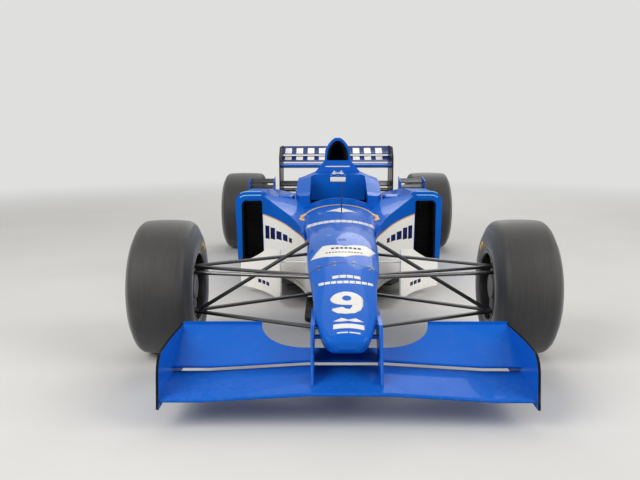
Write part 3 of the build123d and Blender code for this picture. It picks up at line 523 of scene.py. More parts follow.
def arc(start, middle, end, steps):
    """Points on the circle through three points, from just after the first to the last."""
    a, b, c = Vector(start), Vector(middle), Vector(end)
    ab, ac = b - a, c - a
    cross = ab.x * ac.y - ab.y * ac.x
    centre = a + Vector((ac.y * ab.length_squared - ab.y * ac.length_squared,
                         ab.x * ac.length_squared - ac.x * ab.length_squared)) / (2 * cross)
    first = math.atan2(a.y - centre.y, a.x - centre.x)
    sweep = math.atan2(c.y - centre.y, c.x - centre.x) - first
    if cross > 0 and sweep < 0:
        sweep += 2 * math.pi
    if cross < 0 and sweep > 0:
        sweep -= 2 * math.pi
    radius = (a - centre).length
    turns = [first + sweep * (step + 1) / steps for step in range(steps)]
    return [(centre.x + radius * math.cos(turn), centre.y + radius * math.sin(turn)) for turn in turns]


def revolve(bm, profile, segments):
    """Turns a closed profile of (along, radius) points about the X axis."""
    rings = [[bm.verts.new(about_x(*point, turn)) for point in profile] for turn in ways(segments)]
    bridge(bm, rings + rings[:1], capped=False)


def tube(bm, path, radius, segments=10):
    """A closed round bar along a path, of one radius or of one for each point."""
    points = [Vector(point) for point in path]
    radii = radius if isinstance(radius, (list, tuple)) else [radius] * len(points)
    side = heading(points, 0).orthogonal().normalized()
    rings = []
    for index, point in enumerate(points):
        along = heading(points, index)
        side = (side - along * side.dot(along)).normalized()
        up = along.cross(side)
        rings.append([bm.verts.new(point + (side * math.cos(turn) + up * math.sin(turn)) * radii[index])
                      for turn in ways(segments)])
    bridge(bm, rings)


def knob(bm, point, direction, heights, radii, segments):
    """A round knob on a point, from its radii at heights along a direction."""
    tube(bm, [Vector(point) + Vector(direction) * height for height in heights], radii, segments)


def block(bm, middle, size, turn=None, bevel=0.0):
    """A box with rounded edges, turned by a rotation matrix."""
    stand = Matrix.Translation(Vector(middle)) @ (turn or Matrix.Identity(4))
    made = bmesh.ops.create_cube(bm, size=1.0, matrix=stand @ Matrix.Diagonal((*size, 1.0)))
    if bevel:
        edges = list({edge for vert in made["verts"] for edge in vert.link_edges})
        bmesh.ops.bevel(bm, geom=edges, offset=bevel, segments=2, profile=0.5, affect="EDGES")


def bolt(bm, point, normal, radius, height, sides=6):
    """A bolt's head with its washer, standing on a surface."""
    point, normal = Vector(point), Vector(normal).normalized()
    tube(bm, (point - normal * 0.002, point + normal * height * 0.35), radius * 1.45, 16)
    tube(bm, (point, point + normal * height), radius, sides)


def bolt_circle(bm, along, ring_radius, count, start, radius, height):
    """Bolts evenly round the X axis that point along it."""
    for turn in ways(count, start):
        bolt(bm, about_x(along, ring_radius, turn), (1, 0, 0), radius, height)


def fastener(bm, point, normal):
    """A quarter-turn fastener: low domed disc, 16 mm across, with a slot across it."""
    normal = normal.normalized()
    knob(bm, point, normal, (-0.0015, 0.0004, 0.0011, 0.0012), (0.008, 0.008, 0.0064, 0.0024), 18)
    across = normal.orthogonal().normalized()
    turn = Matrix((across, normal.cross(across), normal)).transposed().to_4x4()
    block(bm, point + normal * 0.0012, (0.0104, 0.00176, 0.0006), turn)


def sheet(name, rows, material, thickness):
    """A thin sheet through rows of points."""
    bm = bmesh.new()
    bridge(bm, [[bm.verts.new(point) for point in row] for row in rows], closed=False, capped=False)
    thicken(finished(name, bm, material), thickness)


@cache
def skin(*nodes):
    """The joined surface of CAD nodes, ready for rays."""
    verts, faces = [], []
    for node in nodes:
        mesh = frame["nodes"][node].data
        base = len(verts)
        verts += [vert.co.copy() for vert in mesh.vertices]
        faces += [tuple(base + index for index in face.vertices) for face in mesh.polygons]
    return BVHTree.FromPolygons(verts, faces)


ACROSS, REARWARD, UP = Vector((1, 0, 0)), Vector((0, 1, 0)), Vector((0, 0, 1))
DOWN = -UP
# Ways to lay a flat outline on the car: the ray's direction, and the axes of the outline's u and v
FROM_ABOVE = (DOWN, ACROSS, REARWARD)
FROM_FRONT = (REARWARD, ACROSS, UP)
FROM_LEFT = (-ACROSS, REARWARD, UP)
FROM_RIGHT = (ACROSS, REARWARD, UP)
# Rays start this far before the point that they pass through, outside the car
FAR = 5.0


def hit(nodes, through, direction):
    """Where a ray through a point first meets CAD nodes, and the way that the surface faces there."""
    point, normal, _, _ = skin(*nodes).ray_cast(through - direction * FAR, direction)
    if point is None:
        return None, None
    return point, normal if normal.dot(direction) < 0 else -normal


def touch(nodes, x, station, z, direction):
    """What a ray through a place hits."""
    return hit(nodes, Vector((x, y_at(station), z)), direction)


def decal(name, outlines, nodes, material, way=FROM_ABOVE, cell=0.012, lift=0.0005, jump=0.02):
    """A thin film of paint: flat outlines cut into cells and laid on CAD nodes along a direction.

    The film stops where it would jump from one surface to a further one."""
    direction, across, up = way
    bm = bmesh.new()
    for outline in outlines:
        bm.faces.new([bm.verts.new(across * u + up * v) for u, v in outline])
    bmesh.ops.remove_doubles(bm, verts=bm.verts, dist=1e-5)
    bm.normal_update()
    for axis in (across, up):
        values = [vert.co.dot(axis) for vert in bm.verts]
        cut = math.floor(min(values) / cell + 1) * cell
        while cut < max(values):
            geometry = bm.verts[:] + bm.edges[:] + bm.faces[:]
            bmesh.ops.bisect_plane(bm, geom=geometry, dist=1e-6, plane_co=axis * cut, plane_no=axis)
            cut += cell
    bmesh.ops.triangulate(bm, faces=bm.faces)
    missed = []
    for vert in bm.verts:
        point, facing = hit(nodes, vert.co, direction)
        if point is None:
            missed.append(vert)
        else:
            vert.co = point + facing * lift
    bmesh.ops.delete(bm, geom=missed, context="VERTS")
    torn = [edge for edge in bm.edges if abs((edge.verts[0].co - edge.verts[1].co).dot(direction)) > jump]
    bmesh.ops.delete(bm, geom=torn, context="EDGES")
    thicken(finished(name, bm, material), lift * 0.8, 0.0)


# Wheels, each piece about the wheel's own centre, with its outer side towards +X

def tyre_profile(radius, width):
    """Closed section of a slick: crowned tread, round shoulders, ribbed sidewalls and beads."""
    half = width / 2
    wall = [(half - 0.016, RIM_RADIUS), (half - 0.008, RIM_RADIUS + 0.004),
            (half - 0.006, RIM_RADIUS + 0.010)]
    wall += arc(wall[-1], (half, radius * 0.745), (half - 0.017, radius - 0.040), 9)
    for rib, rise in ((7, 0.0012), (9, 0.0010)):
        wall[rib] = (wall[rib][0] + rise, wall[rib][1])
    wall += arc(wall[-1], (half - 0.034, radius - 0.014), (half - 0.062, radius - 0.004), 8)
    crown = arc(wall[-1], (0.0, radius), (-wall[-1][0], wall[-1][1]), 14)
    return wall + crown + [(-x, r) for x, r in reversed(wall[:-1])]


def slick(radius, width):
    bm = bmesh.new()
    revolve(bm, tyre_profile(radius, width), 144)
    return bm


def dashes(radius, width):
    """Short painted dashes that follow both sidewalls: a long and a short one, twice round."""
    bm = bmesh.new()
    profile = [(x + 0.0008, r) for x, r in tyre_profile(radius, width)[4:7]]
    for face in BOTH:
        for start, sweep in ((0.4, 0.16), (0.62, 0.10), (3.5, 0.16), (3.72, 0.10)):
            turns = [start + sweep * step / 12 for step in range(13)]
            rows = [[bm.verts.new(about_x(face * x, r, turn)) for x, r in profile] for turn in turns]
            bridge(bm, rows, closed=False, capped=False)
    return bm


def rim_profile(width, web):
    """Closed section of the barrel, from the inner lip to the outer lip, with its hump and steps."""
    lip = width / 2 - 0.004
    outside = [(-lip, 0.176), (-lip + 0.007, 0.178), (-lip + 0.010, 0.168), (-lip + 0.030, 0.1665),
               (lip - 0.030, 0.1665), (lip - 0.010, 0.168), (lip - 0.007, 0.178), (lip, 0.176)]
    inside = [(lip + 0.001, 0.166), (lip - 0.004, 0.161), (lip - 0.020, 0.1585), (web + 0.012, 0.1575),
              (web - 0.010, 0.1555), (-lip + 0.022, 0.1585), (-lip + 0.004, 0.161), (-lip - 0.001, 0.166)]
    return outside + inside


# Spoke: distance from the axle, half width, distance outboard of the web, and depth
SPOKE_ROWS = ((0.044, 0.015, 0.004, 0.013), (0.075, 0.0115, 0.002, 0.011), (0.115, 0.0105, 0.010, 0.010),
              (0.159, 0.0165, 0.020, 0.012))


def spoke(bm, turn, web):
    """One spoke: a tapered web with a raised rib, from the hub to the barrel."""
    spin = Matrix.Rotation(turn, 3, "X")
    rings = []
    for radius, half, along, depth in SPOKE_ROWS:
        section = ((-half, -depth), (half, -depth), (half, depth * 0.4), (half * 0.45, depth),
                   (-half * 0.45, depth), (-half, depth * 0.4))
        rings.append([bm.verts.new(spin @ Vector((web + along + out, across, radius)))
                      for across, out in section])
    bridge(bm, rings)


def spoked_rim(width, web):
    """Barrel, ten spokes, hub, a circle of small bolts and the valve."""
    bm = bmesh.new()
    revolve(bm, rim_profile(width, web), 96)
    for turn in ways(10):
        spoke(bm, turn, web)
    revolve(bm, [(web - 0.020, SPINDLE_RADIUS), (web - 0.020, 0.056), (web + 0.006, 0.056),
                 (web + 0.014, 0.050), (web + 0.018, 0.040), (web + 0.018, SPINDLE_RADIUS)], 48)
    bolt_circle(bm, web + 0.022, 0.152, 20, 0.5, 0.0042, 0.005)
    tube(bm, ((web + 0.014, 0.0, 0.142), (web + 0.030, 0.0, 0.139), (web + 0.046, 0.0, 0.136)), 0.004)
    return bm


def wheel_nut(web):
    """Centre nut with six drive dogs."""
    bm = bmesh.new()
    revolve(bm, [(web + 0.017, 0.0285), (web + 0.017, 0.041), (web + 0.026, 0.039), (web + 0.046, 0.036),
                 (web + 0.050, 0.033), (web + 0.050, 0.0285)], 48)
    for angle in ways(6):
        turn = Matrix.Rotation(angle, 4, "X")
        block(bm, turn @ Vector((web + 0.034, 0, 0.037)), (0.024, 0.010, 0.008), turn, 0.0015)
    return bm


# Brake disc: inner and outer radius of its rubbing faces, and where each face starts and ends
DISC_RADII = (0.079, 0.130)
DISC_FACES = ((-0.012, -0.0045), (0.0045, 0.012))


def vented_disc(disc_at, web):
    """Two rubbing faces, the vanes between them, the bell and its bobbins."""
    bm = bmesh.new()
    low, high = DISC_RADII
    for inner, outer in DISC_FACES:
        revolve(bm, [(disc_at + inner, low), (disc_at + inner, high), (disc_at + outer, high),
                     (disc_at + outer, low)], 72)
    for angle in ways(40):
        turn = Matrix.Rotation(angle, 4, "X")
        block(bm, turn @ Vector((disc_at, 0, 0.1045)), (0.0096, 0.0035, 0.049), turn)
    bell = web - 0.020
    revolve(bm, [(disc_at - 0.004, 0.028), (disc_at - 0.004, 0.080), (disc_at + 0.004, 0.080),
                 (disc_at + 0.006, 0.041), (bell, 0.039), (bell, 0.028)], 48)
    bolt_circle(bm, disc_at + 0.004, 0.073, 10, 0.0, 0.005, 0.004)
    return bm


# Caliper: where it starts behind straight up, and how far round it reaches, in degrees
CALIPER_START = 62
CALIPER_REACH = 56


def caliper(disc_at):
    """Brake caliper behind the disc: two cheeks, joined over its edge by four bars."""
    bm = bmesh.new()
    turns = [math.radians(CALIPER_START + CALIPER_REACH * step / 10) for step in range(11)]
    for start, end in ((-0.034, -0.0145), (0.0145, 0.034)):
        section = ((start, 0.098), (end, 0.098), (end, 0.146), (start, 0.146))
        bridge(bm, [[bm.verts.new(about_x(disc_at + x, reach, turn)) for x, reach in section]
                    for turn in turns])
    for share in (0.08, 0.36, 0.64, 0.92):
        turn = math.radians(CALIPER_START + CALIPER_REACH * share)
        lean = Matrix.Rotation(-turn, 4, "X")
        block(bm, about_x(disc_at, 0.1395, turn), (0.050, 0.010, 0.010), lean, 0.002)
    return bm


def build_wheel(axle, station, radius, width, offset, disc_at, name, side):
    """Tyre, rim, nut, brake disc and caliper of one wheel."""
    corner = f"{axle}_{name}"
    body = f"{corner}_wheel"
    centre = (side * offset, y_at(station), radius)
    flip = Matrix.Diagonal((side, 1, 1, 1))
    web = width / 2 - 0.070
    bm = slick(radius, width)
    tyre = finished(f"{corner}_slick", bm, rubber, body, centre)
    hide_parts(f"{corner}_tyre")
    bm = dashes(radius, width)
    thicken(finished(f"{corner}_dashes", bm, yellow, body, centre), 0.0006)
    bm = spoked_rim(width, web)
    rim = finished(f"{corner}_alloy_rim", bm, alloy[side], body, centre, flip)
    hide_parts(f"{corner}_rim")
    finished(f"{corner}_wheel_nut", wheel_nut(web), machined, body, centre, flip)
    bm = vented_disc(disc_at, web)
    brake = finished(f"{corner}_vented_disc", bm, disc, body, centre, flip)
    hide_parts(f"{corner}_brake_disc")
    carrier = f"front_{name}_upright" if axle == "front" else "chassis"
    finished(f"{corner}_caliper", caliper(disc_at), caliper_gold, carrier, centre, flip)


for wheel in WHEELS:
    for name, side in SIDES:
        build_wheel(*wheel, name, side)


# Markings: a plain race number, and bands and blocks in place of lettering

def between(first, second):
    """Quads between two lines of points."""
    rows = list(zip(first, second))
    return [[a, c, d, b] for (a, b), (c, d) in zip(rows, rows[1:])]


def ring(centre, outer, inner):
    """Quads between two ellipses about one centre."""
    first, second = ([(centre[0] + a * math.cos(turn), centre[1] + b * math.sin(turn))
                      for turn in ways(32) + [0.0]] for a, b in (outer, inner))
    return between(first, second)


def nine():
    """The digit in a unit box: bowl, and a tail that turns up to the left."""
    outer = [(1.0, 0.69), (0.985, 0.42), (0.90, 0.20), (0.72, 0.05), (0.45, 0.0), (0.20, 0.05), (0.04, 0.20)]
    inner = [(0.64, 0.69), (0.66, 0.42), (0.645, 0.31), (0.57, 0.21), (0.47, 0.215), (0.36, 0.30),
             (0.06, 0.275)]
    return ring((0.5, 0.69), (0.5, 0.31), (0.14, 0.12)) + between(outer, inner)


def boxed(quads, left, right, low, high):
    """Unit shapes spread over a box."""
    return [[(left + (right - left) * u, low + (high - low) * v) for u, v in quad] for quad in quads]


def blocks(count, gap, left, right, half, station, bow=0.0):
    """Blocks in a row across the car, with gaps between them, along a line that bows back at its ends."""
    pitch = (right - left) / count
    quads = []
    for index in range(count):
        a, b = left + pitch * (index + gap / 2), left + pitch * (index + 1 - gap / 2)
        at_a, at_b = y_at(station) + bow * a * a, y_at(station) + bow * b * b
        quads.append([(a, at_a - half), (b, at_b - half), (b, at_b + half), (a, at_a + half)])
    return quads


def band(path, half):
    """A band of even width along a path."""
    points = [Vector(point) for point in path]
    across = [heading(points, index).orthogonal() * half for index in range(len(points))]
    return between([point + out for point, out in zip(points, across)],
                   [point - out for point, out in zip(points, across)])


def box(left, right, low, high, side=1):
    """A rectangle's outline, on one side of the car."""
    left, right = sorted((side * left, side * right))
    return [(left, low), (right, low), (right, high), (left, high)]


def plan(points, side=1):
    """An outline seen from above, on one side of the car, from (x, station) points."""
    return [(side * x, y_at(station)) for x, station in points]


NOSE = ("nose_cone", "monocoque")
DECK = ("monocoque", "sidepods", "cockpit_coaming")
HOOP = ("head_surround", "engine_cover")
PODS = ("sidepods",)
COVER = ("engine_cover",)
# Lift of a film that lies over another one
OVER_FILM = 0.0011

NOSE_MARK = ((-0.052, -0.757), (-0.020, -0.764), (0.007, -0.760), (0.036, -0.764), (0.066, -0.757),
             (0.036, -0.741), (0.007, -0.753), (-0.020, -0.741))
BANNER = ((-0.153, -0.157), (-0.098, -0.039), (0.008, -0.088), (0.1105, -0.025), (0.155, -0.060),
          (0.120, -0.158), (0.005, -0.2315), (-0.0625, -0.212))
LOZENGE = ((-0.085, 1.055), (-0.028, 1.022), (0.012, 0.972), (0.052, 1.022), (0.109, 1.055),
           (0.052, 1.088), (0.012, 1.135), (-0.028, 1.088))
GOLD_ARC = ((0.0, 1.221), (0.05, 1.224), (0.10, 1.231), (0.15, 1.240), (0.19, 1.240), (0.220, 1.220),
            (0.238, 1.180), (0.240, 1.130), (0.236, 1.100))
GOLD_END = ((0.215, 1.105), (0.224, 1.078), (0.243, 1.070), (0.256, 1.085), (0.254, 1.112), (0.236, 1.122))
HEAD_MARK = ((-0.056, 0.722), (-0.030, 0.729), (0.0, 0.724), (0.030, 0.729), (0.056, 0.722),
             (0.030, 0.747), (0.0, 0.738), (-0.030, 0.747))
# Blocks on the inlet frames: outer and inner edge, lower and upper one
FLANK_BLOCKS = ((0.497, 0.466, 0.330, 0.420), (0.458, 0.424, 0.336, 0.414), (0.414, 0.376, 0.345, 0.400),
                (0.366, 0.332, 0.349, 0.392), (0.322, 0.300, 0.352, 0.382))
# Blocks on the bargeboards: outer and inner edge
BOARD_BLOCKS = ((0.520, 0.497), (0.490, 0.468), (0.461, 0.440))

decal("race_number", boxed(nine(), -0.062, 0.070, y_at(-0.716), y_at(-0.559)), NOSE, film)
decal("nose_line_upper", blocks(4, 0.10, -0.055, 0.068, 0.0125, -0.431), NOSE, film)
decal("nose_line_lower", blocks(9, 0.12, -0.113, 0.121, 0.011, -0.4815, 2.4), NOSE, film)
decal("nose_mark", [plan(NOSE_MARK), plan(box(-0.052, 0.067, -0.804, -0.777))], NOSE, film)
# A thin line across the nose tip: a painted highlight on its edge
decal("nose_tip_glint", blocks(2, 0.10, -0.040, 0.052, 0.0035, -0.829), NOSE, film)
decal("nose_banner", [plan(BANNER)], NOSE, film)
banner_lines = blocks(7, 0.3, -0.060, 0.085, 0.010, -0.118, 3.0)
banner_lines += blocks(12, 0.3, -0.085, 0.090, 0.004, -0.172, 3.0)
decal("banner_lines", banner_lines, NOSE, navy, lift=OVER_FILM)
decal("deck_band", blocks(12, 0.07, -0.200, 0.200, 0.058, 0.580, 6.5), DECK, film)
decal("deck_lozenge", [plan(LOZENGE)], DECK, film)
decal("deck_marks", [plan(box(x - 0.012, x + 0.012, 0.125, 0.135)) for x in (-0.0685, 0.0685)], DECK, pale)
decal("deck_outline", [plan(box(-0.024, 0.016, low, low + 0.004)) for low in (0.004, 0.024)], DECK, navy)
for name, side in SIDES:
    decal(f"{name}_gold_arc", band(plan(GOLD_ARC, side), 0.0105), DECK, gold)
    decal(f"{name}_gold_end", [plan(GOLD_END, side)], DECK, gold, lift=OVER_FILM)
    flank = [box(*edges, side) for edges in FLANK_BLOCKS]
    decal(f"{name}_flank_blocks", flank, PODS, navy, FROM_FRONT, jump=0.08)
    boards = [box(outer, inner, 0.098, 0.122, side) for outer, inner in BOARD_BLOCKS]
    decal(f"{name}_board_blocks", boards, ("bargeboards",), navy, FROM_FRONT, jump=0.05)
    pod = [box(y_at(1.455), y_at(1.560), low, high) for low, high in ((0.375, 0.445), (0.465, 0.540))]
    decal(f"{name}_pod_blocks", pod, PODS, white, FROM_LEFT if side > 0 else FROM_RIGHT)
decal("head_marks", [box(-0.056, 0.056, 0.676, 0.711), HEAD_MARK], HOOP, white, FROM_FRONT, jump=0.1)
# A thin white band along the fold under the airbox mouth: a painted highlight
decal("hoop_highlight", [box(-0.090, 0.090, 0.774, 0.782)], HOOP, white, FROM_FRONT, lift=0.0012, jump=0.1)
for low, high in ((0.757, 0.785), (0.803, 0.858)):
    lefts = [-0.472 + 0.105 * step for step in range(9)]
    decal(f"wing_blocks_{round(low * 1000)}", [box(left, left + 0.062, low, high) for left in lefts],
          ("rear_wing_planes",), white, FROM_FRONT, cell=0.006, jump=0.1)


# Hoop and shoulders: copies of the solids' skins, drawn out to the photographed outline

# Station, then foot, crown and half width of the hoop's arch and of the duct's lining in it
HOOP_ROWS = ((1.990, 0.820, 0.993, 0.098), (2.420, 0.776, 0.932, 0.080), (2.800, 0.664, 0.792, 0.054),
             (3.180, 0.530, 0.612, 0.032))
LINING_ROWS = ((1.9925, 0.8262, 0.9675, 0.0800), (2.3280, 0.7625, 0.8640, 0.0500))
# A point on the solid's arch between foot and crown: shares of the half width and of the rise
ARCH_LEAN = (0.7, 0.51)
# How much narrower the rounder arch is at half its height than at its foot
HOOP_TAPER = 0.08
# Shoulders: where their slope starts across the car, in height and at the rear, how far it takes to
# grow in each of those ways, and its full fall
SHOULDER_EDGE, SHOULDER_FOOT, SHOULDER_END = 0.168, 0.600, 2.75
SHOULDER_GROWTH = (0.124, 0.126, 0.76)
SHOULDER_FALL = 0.044
# Radiators: the inner top corner's reach across the car, its foot and its fall
CORE_CORNER = (0.40, 0.30, 0.044)


def between_rows(rows, station):
    """Values of a table at a station."""
    for here, there in zip(rows, rows[1:]):
        if station <= there[0]:
            share = max((station - here[0]) / (there[0] - here[0]), 0.0)
            return [a + (b - a) * share for a, b in zip(here[1:], there[1:])]
    return rows[-1][1:]


def fuller(x, z, station):
    """A point of the pointed arch moved out to an arch with a round crown and upright sides."""
    foot, crown, half = between_rows(HOOP_ROWS, station)
    if z <= foot:
        return x, z
    rise = crown - foot
    middle = foot + rise / 2
    # The solid's arch is part of a circle through its foot, its lean and its crown
    (ax, az), (bx, bz) = (half * ARCH_LEAN[0], foot + rise * ARCH_LEAN[1]), (0.0, crown)
    first = (half ** 2 + foot ** 2 - ax ** 2 - az ** 2, 2 * (half - ax), 2 * (foot - az))
    second = (ax ** 2 + az ** 2 - bx ** 2 - bz ** 2, 2 * (ax - bx), 2 * (az - bz))
    turn = first[1] * second[2] - second[1] * first[2]
    cx = (first[0] * second[2] - second[0] * first[2]) / turn
    cz = (first[1] * second[0] - second[1] * first[0]) / turn
    bend = (half - cx) ** 2 + (foot - cz) ** 2
    if z <= middle:
        pointed = cx + math.sqrt(max(bend - (z - cz) ** 2, 0.0))
        round_one = half * (1.0 - HOOP_TAPER * (z - foot) / (middle - foot))
        return x * round_one / pointed, z
    reach = math.hypot(x, z - middle)
    cosine, sine = abs(x) / reach, (z - middle) / reach
    near = -cx * cosine + (middle - cz) * sine
    pointed = -near + math.sqrt(max(near ** 2 + bend - cx ** 2 - (middle - cz) ** 2, 0.0))
    spread = cosine ** 2 * (rise / 2) / (half * (1.0 - HOOP_TAPER)) ** 2
    if spread < 1e-6:
        round_one = rise / 2
    else:
        round_one = (math.sqrt(sine ** 2 + 4 * spread * rise / 2) - sine) / (2 * spread)
    scale = round_one / pointed
    return x * scale, middle + (z - middle) * scale


def clamped(value):
    """A value kept between 0 and 1."""
    return min(max(value, 0.0), 1.0)


def sloped(x, z, station):
    """A point of the shoulder moved down towards the outside."""
    starts = (abs(x) - SHOULDER_EDGE, z - SHOULDER_FOOT, SHOULDER_END - station)
    out, up, fade = (clamped(start / growth) for start, growth in zip(starts, SHOULDER_GROWTH))
    return x, z - SHOULDER_FALL * out * up * fade


def below_roof(x, z, station):
    """A point of the radiator's inner top corner moved down under the pod's roof."""
    reach, foot, fall = CORE_CORNER
    return x, z - fall if abs(x) < reach and z > foot else z


def reshaped(node, moves, cuts=()):
    """A copy of a CAD node's skin, cut at values of X and with its points moved, in the node's place."""
    bm = bmesh.new()
    bm.from_mesh(frame["nodes"][node].data)
    for x in cuts:
        geometry = bm.verts[:] + bm.edges[:] + bm.faces[:]
        bmesh.ops.bisect_plane(bm, geom=geometry, plane_co=(x, 0, 0), plane_no=ACROSS)
    for vert in bm.verts:
        for move in moves:
            vert.co.x, vert.co.z = move(vert.co.x, vert.co.z, vert.co.y - y_at(0))
    piece = finished(f"{node}_skin", bm, frame["nodes"][node].data.materials[0], sharp=28.0)
    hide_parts(node)
    return piece


reshaped("engine_cover", (sloped, fuller))
reshaped("radiators", (below_roof,))
surround = reshaped("head_surround", (sloped,), (SHOULDER_EDGE, -SHOULDER_EDGE))
soft = surround.modifiers.new("soft_edges", "BEVEL")
soft.width = 0.010
soft.segments = 3
soft.angle_limit = math.radians(32)


# Fittings on the bodywork

def upright_fixings(bm, fixing, nodes, places, direction, *sizes):
    """Fixings at (x, station) places on both halves of the car, found from above or below."""
    for x, station in places:
        for side in BOTH:
            fixing(bm, *touch(nodes, side * x, station, 0, direction), *sizes)


def side_fixings(bm, fixing, nodes, places, *sizes):
    """Fixings at (station, height) places on both sides of the car."""
    for station, height in places:
        for side in BOTH:
            fixing(bm, *touch(nodes, 0, station, height, -side * ACROSS), *sizes)


bm = bmesh.new()
joint = [(x, station) for station in (-0.318, -0.282) for x in (0.045, 0.115)]
upright_fixings(bm, fastener, NOSE, joint + [(0.150, 0.42), (0.060, 0.42)], DOWN)
pod_stations = (1.52, 1.70, 1.88, 2.06, 2.24)
upright_fixings(bm, fastener, PODS, [(0.50, station) for station in pod_stations], DOWN)
side_fixings(bm, fastener, PODS, [(station, 0.145) for station in pod_stations])
side_fixings(bm, fastener, COVER, ((2.14, 0.64), (2.35, 0.62), (2.56, 0.60)))
side_fixings(bm, fastener, NOSE, [(station, 0.36) for station in (-0.32, 0.08, 0.53, 0.98)])
finished("panel_fasteners", bm, steel)

bm = bmesh.new()
front_plate = ((-0.90, 0.117), (-0.82, 0.124), (-0.74, 0.131), (-0.66, 0.180), (-0.57, 0.215), (-0.49, 0.249))
side_fixings(bm, bolt, ("front_wing_endplates",), front_plate, 0.005, 0.0025)
rear_plate = ((3.02, 0.720), (3.16, 0.722), (3.24, 0.752), (3.31, 0.780), (3.35, 0.824), (3.42, 0.862),
              (2.99, 0.502), (3.09, 0.508), (3.14, 0.538), (3.21, 0.557))
side_fixings(bm, bolt, ("rear_wing_endplates",), rear_plate, 0.005, 0.0025)
side_fixings(bm, bolt, ("winglets",), ((2.415, 0.576), (2.43, 0.594), (2.465, 0.640)), 0.004, 0.002)
floor_rows = [(x, station) for x in (0.10, 0.185) for station in (0.50, 0.95, 1.40, 1.85, 2.30)]
upright_fixings(bm, bolt, ("floor", "skid_plank"), floor_rows, UP, 0.008, 0.002, 18)
for station in (0.45, 0.80, 1.15, 1.50, 1.85, 2.20, 2.55):
    bolt(bm, *touch(("skid_plank",), 0, station, 0, UP), 0.016, 0.0015, 28)
finished("wing_and_plank_bolts", bm, machined)


def arch_ring(station):
    """Outline of the airbox's lining at a station, drawn out as the hoop is."""
    foot, crown, half = between_rows(LINING_ROWS, station)
    lean = (half * ARCH_LEAN[0], foot + (crown - foot) * ARCH_LEAN[1])
    side = arc((half, foot), lean, (0.0, crown), 14)
    outline = [(half, foot)] + side + [(-x, z) for x, z in reversed(side[:-1])] + [(-half, foot)]
    return [(x, y_at(station), z) for x, z in (fuller(x, z, station) for x, z in outline)]


# Near-black sleeve just inside the airbox's duct, closed at its far end: painted shade for the dark inside of
# the duct
bm = bmesh.new()
mouth, end = LINING_ROWS[0][0], LINING_ROWS[-1][0]
rings = [[bm.verts.new(point) for point in arch_ring(mouth + (end - mouth) * step / 8)] for step in range(9)]
bridge(bm, rings, capped=False)
bm.faces.new(rings[-1])
finished("airbox_shade_lining", bm, airbox_shade_black)

# Flanges that close the cover's sides down onto the pods: stations and heights of their tops
FLANGE_TOPS = ((1.992, 0.622), (2.06, 0.612), (2.14, 0.601), (2.22, 0.590), (2.30, 0.578), (2.38, 0.566),
               (2.46, 0.556), (2.54, 0.548), (2.60, 0.544))
FLANGE_FOOT = 0.468
for name, side in SIDES:
    rows = []
    for station, height in FLANGE_TOPS:
        top = touch(COVER, 0, station, height, -side * ACROSS)[0] - side * 0.0015 * ACROSS
        rows.append((top, (top.x + side * 0.003, top.y, FLANGE_FOOT)))
    sheet(f"{name}_cover_flange", rows, blue, 0.002)

# Access panels on the pods' roofs, beside the head surround: ends along the car and across it
PANEL_STATIONS = (1.700, 1.860)
PANEL_ACROSS = (0.314, 0.420)
for name, side in SIDES:
    inner, outer = PANEL_ACROSS
    rows = []
    for step in range(12):
        x = side * (inner + (outer - inner) * step / 11)
        rows.append([touch(PODS, x, station, 0, DOWN)[0] + UP * 0.0022 for station in PANEL_STATIONS])
    sheet(f"{name}_roof_panel", rows, blue, 0.0012)
    bm = bmesh.new()
    for x in (inner + 0.012, outer - 0.012):
        for station in (PANEL_STATIONS[0] + 0.010, PANEL_STATIONS[1] - 0.010):
            place, normal = touch(PODS, side * x, station, 0, DOWN)
            bolt(bm, place + UP * 0.0020, normal, 0.005, 0.0012)
    finished(f"{name}_roof_panel_screws", bm, steel)


def rounded(width, height, radius, steps=5):
    """Outline of a rectangle with round corners."""
    outline = []
    for sx, sy, start in ((1, 1, 0.0), (-1, 1, 90.0), (-1, -1, 180.0), (1, -1, 270.0)):
        for step in range(steps + 1):
            turn = math.radians(start + 90.0 * step / steps)
            outline.append((sx * (width / 2 - radius) + radius * math.cos(turn),
                            sy * (height / 2 - radius) + radius * math.sin(turn)))
    return outline


bm = bmesh.new()
for side in BOTH:
    bridge(bm, [[bm.verts.new((side * 0.357 - u, y_at(1.5012) + half, 0.592 + v))
                 for u, v in rounded(0.102, 0.044, 0.014)] for half in (-0.0008, 0.0008)])
finished("mirror_glasses", bm, mirror_glass)

# Rain light: six rows of small lenses in a dark bezel
LIGHT_HEIGHT = 0.315
LENS_PITCH = 0.012
bm = bmesh.new()
for row in range(6):
    for column in range(6):
        x, height = LENS_PITCH * (column - 2.5), LIGHT_HEIGHT + LENS_PITCH * (row - 2.5)
        knob(bm, (x, y_at(3.3640), height), REARWARD, (0, 0.002, 0.0035), (0.0048, 0.0044, 0.0022), 12)
finished("rain_light_lenses", bm, red_lens)
bm = bmesh.new()
for side in BOTH:
    block(bm, (0, y_at(3.3650), LIGHT_HEIGHT + side * 0.039), (0.084, 0.006, 0.006), bevel=0.0012)
    block(bm, (side * 0.039, y_at(3.3650), LIGHT_HEIGHT), (0.006, 0.006, 0.072), bevel=0.0012)
finished("rain_light_bezel", bm, satin_black)

# Rolled lips along the tops of the inlet frames, and below them, in pale blue as painted highlights
bm = bmesh.new()
for side in BOTH:
    upper, lower = [], []
    for x in (0.525, 0.600, 0.642, 0.668):
        upper.append(touch(PODS, side * x, 1.442, 0, DOWN)[0] + UP * 0.0015)
        top = touch(PODS, side * x, 1.433, 0, DOWN)[0].z
        lower.append(touch(PODS, side * x, 0, top - 0.022, REARWARD)[0] - REARWARD * 0.001)
    for path in (upper, lower):
        tube(bm, path, 0.0035, 8)
finished("inlet_lip_highlights", bm, pale)


# Driveshaft boots, and rolled lips and clamps on the tail pipes

